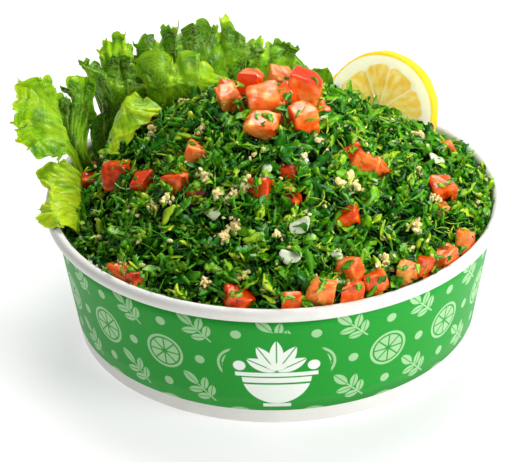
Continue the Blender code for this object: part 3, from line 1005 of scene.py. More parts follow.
@dataclass
class Lemon:
    """The lemon slice: rind, pith and segments with raised membranes, on a round grid."""

    bench: Bench
    finish: bpy.types.Material
    radius: float = 24.6
    thickness: float = 7.0
    face_centre: tuple[float, float, float] = (44.2, 51.5, 66.8)
    turn: float = 24.0
    lean: float = 20.0
    segments: int = 9
    core: float = 2.1
    pith_width: float = 5.3
    columns: int = 216
    front_rows: int = 64
    back_rows: int = 40

    def face(self, radii: Array, angles: Array, seed: int) -> tuple[Array, Array]:
        """Relief and pith mask of a cut face.

        The flesh lies low beside each membrane and swells between them; the membranes are rays
        whose angles are a little uneven, and they widen toward the pith and the core.

        Returns:
            The relief in millimetres, and the pith mask.
        """
        ray = angles + 0.05 * np.sin(3 * angles + seed) + 0.03 * np.sin(5 * angles + 2 * seed)
        within = (ray / TAU * self.segments) % 1.0
        off = np.minimum(within, 1.0 - within) / self.segments * TAU * radii
        outer = self.radius - self.pith_width + 0.5 * np.sin(4 * angles + seed)
        corner = 1.6 * (1.0 - smoothstep(0.0, 2.4, off))
        membrane = 0.62 * (1.0 - smoothstep(0.14, 0.46, off))
        pith = smoothstep(outer - corner - 0.35, outer - corner + 0.2, radii)
        near_ray = 1 - smoothstep(0, 1.2, off)
        heart = 1.0 - smoothstep(self.core - 0.4, self.core + 0.5, radii - 0.8 * near_ray)
        mask = np.maximum(np.maximum(membrane, pith), heart)
        sacs = swell(np.stack([angles * 26.0 + 3.0 * np.sin(angles * 7), radii * 0.5], -1), 5.0, seed, 2)
        flesh = 0.2 * smoothstep(0.2, 2.5, off) - 0.26 + 0.07 * sacs
        return flesh * (1.0 - mask) + 0.04 * mask, mask

    def build(self) -> None:
        """Build the slice and lean it in the salad."""
        angles = np.linspace(0.0, TAU, self.columns, endpoint=False)
        inner = np.linspace(0.15, self.radius - 0.9, self.front_rows)
        half = self.thickness / 2
        edge_turn = np.linspace(0.0, math.pi / 2, 5)
        edge_radius = self.radius - 0.7 + 0.7 * np.sin(edge_turn)
        edge_height = half - 0.7 + 0.7 * np.cos(edge_turn)
        side_height = np.linspace(half - 1.2, -half + 1.2, 8)
        back = np.linspace(self.radius - 0.9, 0.15, self.back_rows)
        radii = np.concatenate([inner, edge_radius, np.full(8, self.radius), edge_radius[::-1], back])
        heights = np.concatenate([np.full(64, half), edge_height, side_height, -edge_height[::-1],
                                  np.full(40, -half)])
        r, a = np.meshgrid(radii, angles, indexing="ij")
        h = np.broadcast_to(heights[:, None], r.shape).copy()
        front_relief, front_mask = self.face(r, a, 2)
        back_relief, back_mask = self.face(r, -a, 5)
        rows = np.arange(len(radii))[:, None]
        front, behind = rows < self.front_rows, rows >= len(radii) - self.back_rows
        h += np.where(front, front_relief, 0.0) - np.where(behind, back_relief, 0.0)
        round_noise = swell(np.stack([np.cos(a) * 3, np.sin(a) * 3], -1), 3.0, 9, 2)
        r = r * (1.0 + 0.012 * round_noise)
        pores = swell(np.stack([np.cos(a) * 40, np.sin(a) * 40, h * 1.6], -1), 3.2, 12, 2)
        is_side = ~(front | behind)
        r = r + np.where(is_side, 0.12 * pores, 0.0)
        pith = np.where(front, front_mask, np.where(behind, back_mask, 1.0))
        rind = np.where(is_side, 1.0, 0.0) * np.ones_like(r)
        rind = np.maximum(rind, smoothstep(self.radius - 1.5, self.radius - 0.9, r))
        local = np.stack([r * np.cos(a), r * np.sin(a), h], -1)
        pose = rotations(np.array([[90.0 - self.lean, 0.0, -self.turn]]))[0]
        middle = np.array(self.face_centre) - pose @ np.array([0.0, 0.0, half])
        points = local @ pose.T + middle
        count = len(radii)
        faces = grid_quads(count, self.columns, wrap=True)[:, ::-1]
        caps = [np.arange(self.columns)[None, :],
                (np.arange(self.columns) + (count - 1) * self.columns)[None, ::-1]]
        polar = np.stack([a / TAU, r / self.radius], -1).reshape(-1, 2)
        corners = np.concatenate([faces.ravel(), caps[0].ravel(), caps[1].ravel()])
        piece = self.bench.make("lemon_wheel", points, [faces, *caps], self.finish, Slot.LEMON,
                                values={"pith": pith, "rind": rind}, maps={"Face": polar[corners]})
        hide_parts("lemon_slice")


@dataclass
class Blade:
    """One sheet of lettuce, lofted through guide curves from its root to its margin, in millimetres."""

    guides: tuple[tuple, ...]
    seed: int
    # How lit the blade is painted: low values paint it in shade, high values paint it lit.
    light: float
    ruffle: float = 2.4
    pitch: float = 13.0
    lobe: float = 2.4
    columns: int = 150
    rows: int = 36


@dataclass
class Lettuce:
    """The frilled leaves tucked in along the back and one side."""

    bench: Bench
    finish: bpy.types.Material
    thickness: float = 0.45

    @staticmethod
    def left() -> list[Blade]:
        """The leaf that fans out past the rim: an outer lobe painted lit, and a middle lobe and a shaded
        sheet both painted in shade.
        """
        outer = (((-76, 16, 47), (-77, 19, 47), (-77, 22, 48), (-77, 25, 49)),
                 ((-83, 16, 65), (-83, 19, 70), (-84, 24, 73), (-86, 28, 75.5), (-88, 31, 77.5)),
                 ((-85, 13, 68.5), (-90, 15, 71), (-95, 17, 74), (-98, 20, 80), (-98, 23, 86),
                  (-95, 25, 90), (-91.5, 28, 90), (-89.5, 30, 86), (-89, 32, 80.5)),
                 ((-86, 10, 68.5), (-94, 11, 67), (-100.5, 13, 72.5), (-104.5, 16, 80),
                  (-105.5, 19, 88.5), (-101, 23, 95.5), (-93.5, 27, 97.5), (-89.5, 30, 95), (-89.5, 32, 85)))
        middle = (((-77, 25, 49), (-76, 26, 48), (-74, 28, 47), (-72, 30, 47)),
                  ((-86, 27, 75.5), (-83, 21, 72), (-80, 20, 68), (-76.5, 25, 64)),
                  ((-88.5, 31, 78), (-85, 29, 80), (-82, 31, 82), (-80.5, 35, 83), (-78.5, 37, 80.5),
                   (-77, 37, 75), (-76, 35, 69)),
                  ((-89.5, 32, 84), (-86.5, 33, 83), (-84, 34, 84.5), (-85, 36, 90.5), (-80, 38, 92),
                   (-75, 41, 88), (-74, 41, 81.5), (-75.5, 38, 74)))
        shaded = (((-73, 31, 48), (-69, 35, 48), (-63, 40, 49), (-57, 45, 52)),
                  ((-76, 38, 64), (-71, 40, 64), (-65, 43, 66), (-58, 46, 68)),
                  ((-76, 44, 71.5), (-70.5, 46, 71), (-70, 48, 76.5), (-66, 50, 80), (-59.5, 50, 80),
                   (-53.5, 49, 77)))
        # Light 0.7 paints the outer lobe lit; 0.34 paints the middle lobe and the shaded sheet in shade.
        return [Blade(outer, 3, 0.7, 2.6, 15.0, 3.4, 190, 42),
                Blade(middle, 4, 0.34, 2.0, 13.0, 2.2, 130, 36),
                Blade(shaded, 5, 0.34, 1.4, 14.0, 1.4, 100, 30)]

    @staticmethod
    def rim() -> list[Blade]:
        """The leaf that lies over the rim in two lobes, painted brightly lit."""
        guides = (((-75, 10, 54), (-75, 1, 53), (-76, -8, 53), (-76, -16, 52), (-75, -26, 52)),
                  ((-81, 10, 64), (-80.5, 2, 59.5), (-82, -8, 58.5), (-82, -16, 57.5), (-80, -27, 57.5)),
                  ((-86.5, 10, 67), (-88, 4, 64), (-88, -5, 62), (-88, -14, 60.6), (-87, -22, 60),
                   (-83.5, -29, 60)),
                  ((-84, 10, 67.5), (-90, 11, 66), (-96, 8, 64.5), (-94.5, 3, 63), (-90, -2, 62.5),
                   (-90.5, -8, 60.5), (-93.5, -13, 58.5), (-93.5, -20, 57), (-89, -27, 57.5),
                   (-82.5, -31, 59.5)))
        # Light 0.9 paints this leaf brightly lit.
        return [Blade(guides, 6, 0.9, 1.2, 12.0, 1.6, 150, 30)]

    @staticmethod
    def fold() -> list[Blade]:
        """The fold in front: a spiky part painted in shade and a part painted lit that swells forward."""
        dark = (((-66, 50, 47), (-62, 52, 47), (-58, 54, 47), (-54, 56, 47), (-47, 58, 48)),
                ((-77.5, 49, 88), (-71.5, 46, 84), (-65.5, 44, 82), (-59.5, 44, 80.5), (-52, 46, 79.5)),
                ((-78, 50, 89.5), (-72, 49, 87), (-66, 48, 86), (-60, 48, 86), (-53, 48, 83)),
                ((-79.5, 52, 91.5), (-75.5, 53, 89), (-70, 52, 88), (-64.5, 53, 93), (-59.5, 54, 90.5),
                 (-53, 52, 86)))
        bright = (((-52, 57, 49), (-44, 59, 51), (-36, 61, 51), (-27, 63, 51), (-16, 65, 50)),
                  ((-53, 45, 81), (-45, 45, 79), (-36.5, 48, 77), (-28.5, 53, 75), (-20, 58, 73)),
                  ((-53, 44, 85.5), (-44.5, 43, 86), (-36.5, 46, 85.5), (-28, 51, 81.5), (-19, 58, 76)),
                  ((-53, 52, 86), (-49.5, 51, 94.5), (-46, 50, 89.5), (-41.5, 52, 92), (-36.5, 54, 92),
                   (-29, 56, 87.5), (-23, 58, 81), (-16, 60, 76)))
        # Light 0.32 paints the spiky part in shade; 0.7 paints the swelling part lit.
        return [Blade(dark, 7, 0.32, 2.4, 11.0, 3.0, 130, 40),
                Blade(bright, 8, 0.7, 3.2, 13.0, 3.2, 170, 40)]

    @staticmethod
    def back() -> list[Blade]:
        """The tall frilled sheets behind, each with its own painted light and shade."""
        first = (((-65, 54, 46), (-59, 57, 46), (-53, 60, 46)),
                 ((-71.5, 58, 85), (-65, 58, 84), (-57.5, 58, 84)),
                 ((-74.5, 62, 92), (-69.5, 64, 93), (-66, 66, 97.5), (-61, 66, 96), (-57, 66, 91)))
        second = (((-57, 62, 44), (-45, 66, 44), (-30, 70, 44), (-18, 72, 44), (-5, 74, 44)),
                  ((-57.5, 60, 82), (-47, 59, 84), (-36.5, 60, 84), (-26, 62, 82), (-16, 64, 82),
                   (-6, 67, 81)),
                  ((-58, 66, 90), (-55, 67, 93.5), (-49, 68, 96.5), (-44, 69, 98), (-35, 70, 96),
                   (-29.5, 71, 99.5), (-25, 70, 97.5), (-19, 71, 100), (-17.5, 71, 95.5), (-11.5, 72, 93),
                   (-6, 72, 92)))
        third = (((-10, 73, 44), (0, 75, 44), (8, 76, 44), (20, 75, 44)),
                 ((-10, 65, 80), (-1, 66, 80.5), (7.5, 69, 78), (16, 72, 75)),
                 ((-9, 73, 91), (-4, 73, 91), (0.5, 74, 88), (3.5, 74, 84.5), (8, 74, 87), (10, 74, 81),
                  (16, 75, 76)))
        # Light 0.62, 0.4 and 0.5 paint how lit each sheet is; the long middle sheet is painted most in shade.
        return [Blade(first, 9, 0.62, 2.6, 13.0, 3.0, 90, 32),
                Blade(second, 10, 0.4, 3.9, 15.0, 4.2, 270, 44),
                Blade(third, 11, 0.5, 3.0, 14.0, 3.2, 120, 36)]

    @staticmethod
    def small() -> dict[str, list[Blade]]:
        """The tongue of a leaf that lies on the salad, and the leaf tip at the peak."""
        tongue = (((-70, 30, 51), (-67, 38, 54), (-63, 45, 60), (-58, 48, 66)),
                  ((-68, 15, 67), (-66, 25, 74), (-61.5, 35, 81), (-57, 41, 82)),
                  ((-64.5, 10, 70), (-60.5, 16, 76.5), (-58, 24, 83), (-53.5, 32, 84)),
                  ((-61, 8, 71), (-56, 11, 77), (-55, 15, 81.5), (-49, 19, 81.5), (-45.5, 25, 83.5),
                   (-50, 33, 85.5)))
        tip = (((10, 42, 83), (17, 43, 83), (24, 41, 82)),
               ((11, 41, 88), (16, 40, 92.5), (22.5, 40, 92.5), (26, 38, 89.5)))
        # Light 0.86 paints the tongue brightly lit; 0.5 paints the tip partly in shade.
        return {"lettuce_tongue": [Blade(tongue, 12, 0.86, 0.9, 11.0, 1.2, 120, 36)],
                "lettuce_tip": [Blade(tip, 13, 0.5, 0.6, 8.0, 0.8, 50, 20)]}

    def sheet(self, blade: Blade) -> tuple[Array, Array, Array]:
        """Work out a blade's middle surface.

        The guides are joined by Catmull-Rom curves from the root (t = 0) to the margin (t = 1).
        The margin is cut into rounded lobes with small teeth; three sizes of ruffle push the sheet
        along its normal, the finer ones only near the margin, and one pushes it sideways so that
        its folds overhang.

        Args:
            blade: The blade.

        Returns:
            The grid of points, root to margin by along, the blade's map in millimetres, and the
            painted light and shade of each point: lighter on the ruffles' crests, darker in their troughs,
                with a random mottle.
        """
        rows = np.stack([curve_through(guide, blade.columns) for guide in blade.guides])
        ends = np.abs(np.linspace(-1.0, 1.0, blade.columns))[:, None]
        rows[-1] += (rows[-2] - rows[-1]) * 0.5 * ends ** 8
        sheet = curve_through(rows, blade.rows)
        t = np.linspace(0.0, 1.0, blade.rows)[:, None, None]
        s = np.linspace(0.0, 1.0, blade.columns)[None, :, None]
        length = np.linalg.norm(np.diff(rows[-1], axis=0), axis=1).sum()
        tall = np.linalg.norm(np.diff(rows, axis=0), axis=2).sum(0)[None, :, None]
        waves = length / blade.pitch
        drift = (0.3 * np.sin(TAU * (1.3 * s + 0.17 * blade.seed))
                 + 0.18 * np.sin(TAU * (2.9 * s + blade.seed)))
        bend = 0.14 * np.sin(TAU * (0.8 * t + 2.3 * s + 0.31 * blade.seed)) * (1.0 - t)
        phase = TAU * (waves * s + drift + bend)
        uneven = 1.0 + 0.35 * np.sin(phase * 0.31 + blade.seed)
        outward = np.gradient(sheet, axis=0)
        outward = outward / np.maximum(np.linalg.norm(outward, axis=2, keepdims=True), 1e-6)
        lobes = blade.lobe * (np.sqrt(np.abs(np.sin(phase / 2 + 0.6))) - 0.75) * uneven
        teeth = 0.26 * blade.lobe * (np.abs(np.sin(phase * 1.9 + 2.0 * np.sin(phase * 0.7))) - 0.4)
        sheet = sheet + outward * (lobes * t ** 3 + teeth * t ** 7)
        normal = grid_normals(sheet)
        along = np.gradient(sheet, axis=1)
        along = along / np.maximum(np.linalg.norm(along, axis=2, keepdims=True), 1e-6)
        big = 0.9 * t ** 1.8 * np.sin(phase / 2 + 0.9 + blade.seed)
        mid = 1.0 * uneven * t ** 3.6 * np.sin(phase + 0.8 + 0.9 * t)
        small = 0.25 * t ** 6 * np.sin(2.3 * phase + 1.7 * np.sin(phase) + blade.seed)
        sway = 0.6 * uneven * t ** 4 * np.sin(2 * phase + 1.2) + 0.3 * t ** 7 * np.sin(4.6 * phase + 1.0)
        sheet = sheet + (normal * (big + mid + small) + along * sway) * blade.ruffle
        flat = np.concatenate(np.broadcast_arrays(s * length, t * tall), axis=2)
        blister = swell(flat, 9.0, blade.seed, 2)[..., None]
        sheet = sheet + grid_normals(sheet) * blister * 0.34 * np.sqrt(np.sin(math.pi * t * 0.9 + 0.1))
        # Painted light and shade: lighter where the big and middle ruffles crest, darker in their troughs,
        # plus a random mottle.
        shade = 0.2 * t * t * np.sin(phase + 0.8 + 0.9 * t) + 0.1 * np.sin(phase / 2 + 0.9 + blade.seed) * t
        return sheet, flat, shade[..., 0] + 0.1 * swell(flat, 16.0, blade.seed + 3, 2)

    def shell(self, blade: Blade) -> tuple[Array, Array, dict[str, Array], Array]:
        """Give a blade its thickness, thinner at the margin, and close it.

        Args:
            blade: The blade.

        Returns:
            Points, quads, the named numbers of each point, and the map of each point.
        """
        sheet, flat, shade = self.sheet(blade)
        normal = grid_normals(sheet)
        rows, columns = sheet.shape[:2]
        t = np.linspace(0.0, 1.0, rows)[:, None]
        half = (self.thickness / 2 * (1.3 - 0.7 * t))[..., None]
        points = np.concatenate([(sheet + normal * half).reshape(-1, 3),
                                 (sheet - normal * half).reshape(-1, 3)])
        front = grid_quads(rows, columns)[:, ::-1]
        back = grid_quads(rows, columns) + rows * columns
        index = np.arange(rows * columns).reshape(rows, columns)
        edge = np.concatenate([index[:-1, 0], index[-1, :-1], index[:0:-1, -1], index[0, :0:-1]])
        after = np.roll(edge, -1)
        side = np.stack([edge, after, after + rows * columns, edge + rows * columns], 1)
        margin = np.tile(np.broadcast_to(t, (rows, columns)).ravel(), 2)
        # The blade's painted lighting plus the painted light and shade of its ruffles.
        light = blade.light + np.tile(shade.ravel(), 2)
        return (points, np.concatenate([front, back, side]), {"margin": margin, "light": light},
                np.tile(flat.reshape(-1, 2), (2, 1)))

    def build_leaf(self, name: str, node: str, blades: list[Blade]) -> None:
        """Join a leaf's blades into one piece.

        Args:
            name: The piece's name.
            node: The node that it replaces.
            blades: Its blades.
        """
        shells = [self.shell(blade) for blade in blades]
        starts = np.cumsum([0] + [len(shell[0]) for shell in shells[:-1]])
        points = np.concatenate([shell[0] for shell in shells])
        faces = np.concatenate([shell[1] + start for shell, start in zip(shells, starts)])
        values = {key: np.concatenate([shell[2][key] for shell in shells]) for key in ("margin", "light")}
        flat = np.concatenate([shell[3] for shell in shells])
        piece = self.bench.make(name, points, [faces], self.finish, Slot.LETTUCE, values=values,
                                maps={"Blade": flat[faces.ravel()]})
        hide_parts(node)

    def build(self) -> None:
        """Build every leaf."""
        self.build_leaf("leaf_left", "lettuce_left", self.left())
        self.build_leaf("leaf_rim", "lettuce_rim", self.rim())
        self.build_leaf("leaf_fold", "lettuce_fold", self.fold())
        self.build_leaf("leaf_back", "lettuce_back", self.back())
        for node, blades in self.small().items():
            self.build_leaf(node.replace("lettuce", "leaf"), node, blades)


@dataclass
class Scatter:
    """Frames for many small things that lie on the heap."""

    heap: HeapShape
    bowl: BowlShape
    keep_out: list[tuple[Array, Array, Array]] = field(default_factory=list)
    bare: Array = field(default_factory=lambda: np.zeros((0, 4)))

    def spots(self, count: int, rng: np.random.Generator) -> tuple[Array, Array]:
        """Pick places spread evenly over the heap, out to the wall.

        Args:
            count: How many.
            rng: Where the random numbers come from.

        Returns:
            The x and y of each place.
        """
        radius = (self.bowl.wall_top - 1.6) * np.sqrt(rng.uniform(0, 1, count))
        turn = rng.uniform(0, TAU, count)
        return radius * np.cos(turn), radius * np.sin(turn)

    def frames(self, x: Array, y: Array, rng: np.random.Generator, tilt: float,
               heading: Array | None = None) -> Array:
        """Turn each thing to a heading on the heap, tipped at random.

        Args:
            x, y: Places.
            rng: Where the random numbers come from.
            tilt: Spread of the tip out of the surface, in radians.
            heading: Chosen headings in radians, or None for random ones.

        Returns:
            A matrix for each thing, whose columns are its length, width and thickness.
        """
        normal = self.heap.normals(x, y)
        heading = rng.uniform(0, TAU, len(x)) if heading is None else heading
        level = np.stack([np.cos(heading), np.sin(heading), np.zeros(len(x))], -1)
        level -= normal * (level * normal).sum(1, keepdims=True)
        level /= np.linalg.norm(level, axis=1, keepdims=True)
        across = np.cross(normal, level)
        tip = rng.normal(0, tilt, len(x))[:, None]
        roll = rng.normal(0, tilt * 1.3, len(x))[:, None]
        along = level * np.cos(tip) + normal * np.sin(tip)
        up = -level * np.sin(tip) + normal * np.cos(tip)
        side = across * np.cos(roll) + up * np.sin(roll)
        top = -across * np.sin(roll) + up * np.cos(roll)
        return np.stack([along, side, top], -1)

    def free(self, centres: Array) -> Array:
        """Say which places are clear of the lemon slice and of the tomatoes, on top and mixed in."""
        clear = np.ones(len(centres), bool)
        for matrix, middle, grow in self.keep_out:
            local = np.abs((centres - middle) @ matrix)
            clear &= ~(local < grow).all(1)
        gaps = np.linalg.norm(centres[:, None] - self.bare[None, :, :3], axis=2)
        return clear & (gaps > self.bare[:, 3]).all(1)

    def settle(self, local: Array, frames: Array, centres: Array) -> Array:
        """Put shapes in place and keep them inside the wall below the rim.

        Args:
            local: Points of each shape, shape by point by coordinate.
            frames: A matrix for each shape.
            centres: A place for each shape.

        Returns:
            The placed points, in the same order.
        """
        placed = np.einsum("nij,nvj->nvi", frames, local) + centres[:, None, :]
        radius = np.hypot(placed[..., 0], placed[..., 1])
        limit = np.where(placed[..., 2] < self.bowl.top - 0.4, self.bowl.inner(
            np.minimum(placed[..., 2], self.bowl.under_roll)) - 0.25, self.bowl.rim - 2.6)
        shrink = np.minimum(1.0, limit / np.maximum(radius, 1e-6))
        placed[..., :2] *= shrink[..., None]
        return placed


def curl_shapes(count: int, rng: np.random.Generator, length: tuple[float, float],
                width: tuple[float, float], bend: float, thick: float, stations: int = 6
                ) -> tuple[Array, list[Array]]:
    """Narrow curled shreds: a flat three-cornered section carried along a twisted arc.

    Args:
        count: How many.
        rng: Where the random numbers come from.
        length, width: Least and most, in millimetres.
        bend: Spread of the total turn, in radians.
        thick: Thickness in millimetres.
        stations: Sections along the arc.

    Returns:
        Points of each shred, and the faces of all of them.
    """
    u = np.linspace(0.0, 1.0, stations)[None, :]
    size = rng.uniform(*length, count)[:, None]
    wide = rng.uniform(*width, count)[:, None]
    turn = rng.normal(0, bend, count)[:, None]
    turn = np.where(np.abs(turn) < 0.05, 0.05, turn)
    twist = rng.normal(0, 1.3, count)[:, None] * (u - 0.5)
    angle = turn * (u - 0.5)
    centre = np.stack([size * np.sin(angle) / turn, np.zeros_like(angle),
                       size * (1 - np.cos(angle)) / turn], -1)
    rise = np.stack([-np.sin(angle), np.zeros_like(angle), np.cos(angle)], -1)
    across = np.zeros_like(rise)
    across[..., 1] = 1.0
    side = across * np.cos(twist)[..., None] + rise * np.sin(twist)[..., None]
    top = -across * np.sin(twist)[..., None] + rise * np.cos(twist)[..., None]
    jag = 1.0 + 0.42 * np.sin(9.0 * u + rng.uniform(0, TAU, count)[:, None])
    half = (wide * np.sin(math.pi * (0.1 + 0.82 * u)) * jag / 2)[..., None]
    rings = np.stack([centre + side * half, centre - side * half, centre + top * thick], 2)
    points = rings.reshape(count, stations * 3, 3)
    quads = grid_quads(stations, 3, wrap=True)[:, ::-1]
    caps = np.array([[0, 1, 2], [3 * stations - 1, 3 * stations - 2, 3 * stations - 3]])
    start = (np.arange(count) * stations * 3)[:, None, None]
    return points, [(quads[None] + start).reshape(-1, 4), (caps[None] + start).reshape(-1, 3)]


def leaf_shapes(count: int, rng: np.random.Generator, length: tuple[float, float],
                width: tuple[float, float], thick: float, stations: int = 7
                ) -> tuple[Array, list[Array], Array]:
    """Bits of flat leaf: a toothed outline folded along its midrib and carried along a bent arc.

    Each station has its two edges and the midrib's upper and lower side, so a bit is closed.  The
    half width is sin(pi u)^0.6 times random teeth, on each side its own.

    Args:
        count: How many.
        rng: Where the random numbers come from.
        length, width: Least and most, in millimetres.
        thick: Thickness at the midrib in millimetres.
        stations: Sections along the arc.

    Returns:
        Points of each bit, the faces of all of them, and how light each point is beside the rest.
    """
    u = np.linspace(0.0, 1.0, stations)[None, :]
    size = rng.uniform(*length, (count, 1))
    wide = rng.uniform(*width, (count, 1))
    turn = rng.normal(0, 0.9, (count, 1))
    turn = np.where(np.abs(turn) < 0.05, 0.05, turn)
    angle = turn * (u - 0.5)
    sweep = rng.normal(0, 0.07, (count, 1)) * size * (4 * (u - 0.5) ** 2)
    centre = np.stack([size * np.sin(angle) / turn, sweep, size * (1 - np.cos(angle)) / turn], -1)
    rise = np.stack([-np.sin(angle), np.zeros_like(angle), np.cos(angle)], -1)
    twist = rng.normal(0, 0.9, (count, 1)) * (u - 0.5)
    across = np.zeros_like(rise)
    across[..., 1] = 1.0
    side = across * np.cos(twist)[..., None] + rise * np.sin(twist)[..., None]
    top = -across * np.sin(twist)[..., None] + rise * np.cos(twist)[..., None]
    base = wide / 2 * np.sin(math.pi * (0.06 + 0.88 * u)) ** 0.6
    teeth = rng.uniform(0.5, 1.25, (count, stations, 2))
    fold = rng.normal(0.3, 0.35, (count, 1))
    left = (base * teeth[..., 0])[..., None]
    right = (base * teeth[..., 1])[..., None]
    lift = (fold * base)[..., None]
    rings = np.stack([centre + side * left + top * lift, centre + top * thick / 2,
                      centre - side * right + top * lift, centre - top * thick / 2], 2)
    points = rings.reshape(count, stations * 4, 3)
    quads = grid_quads(stations, 4, wrap=True)[:, ::-1]
    last = 4 * stations - 1
    caps = np.array([[0, 1, 2, 3], [last, last - 1, last - 2, last - 3]])
    start = (np.arange(count) * stations * 4)[:, None, None]
    shade = np.stack([rng.normal(0.0, 0.1, (count, stations)), np.full((count, stations), 0.1),
                      rng.normal(0.0, 0.1, (count, stations)), np.full((count, stations), 0.02)], 2)
    return (points, [(quads[None] + start).reshape(-1, 4), (caps[None] + start).reshape(-1, 4)],
            shade.reshape(count, stations * 4))


def grain_shapes(count: int, rng: np.random.Generator, length: tuple[float, float]
                 ) -> tuple[Array, list[Array]]:
    """Cracked grains: an icosahedron stretched and knocked out of shape.

    Args:
        count: How many.
        rng: Where the random numbers come from.
        length: Least and most, in millimetres.

    Returns:
        Points of each grain, and the faces of all of them.
    """
    g = (1 + math.sqrt(5)) / 2
    unit = np.array([(-1, g, 0), (1, g, 0), (-1, -g, 0), (1, -g, 0), (0, -1, g), (0, 1, g),
                     (0, -1, -g), (0, 1, -g), (g, 0, -1), (g, 0, 1), (-g, 0, -1), (-g, 0, 1)], float)
    unit /= np.linalg.norm(unit[0])
    faces = np.array([(0, 11, 5), (0, 5, 1), (0, 1, 7), (0, 7, 10), (0, 10, 11), (1, 5, 9),
                      (5, 11, 4), (11, 10, 2), (10, 7, 6), (7, 1, 8), (3, 9, 4), (3, 4, 2),
                      (3, 2, 6), (3, 6, 8), (3, 8, 9), (4, 9, 5), (2, 4, 11), (6, 2, 10),
                      (8, 6, 7), (9, 8, 1)])
    size = rng.uniform(*length, (count, 1, 1)) / 2
    shape = np.stack([np.ones(count), rng.uniform(0.62, 0.85, count), rng.uniform(0.5, 0.75, count)], -1)
    points = unit[None] * size * shape[:, None, :] * rng.uniform(0.6, 1.3, (count, 12, 1))
    start = (np.arange(count) * 12)[:, None, None]
    return points, [(faces[None] + start).reshape(-1, 3)]


@dataclass
class HerbKind:
    """One kind of chopped herb: how many, how big, where it lies and its range of tone, which also paints its
    layer's depth as light and shade.
    """

    name: str
    count: int
    leafy: bool
    length: tuple[float, float]
    width: tuple[float, float]
    lift: tuple[float, float]
    tone: tuple[float, float]
    seed: int
    tilt: float = 0.55
    gaps: float = 9.0


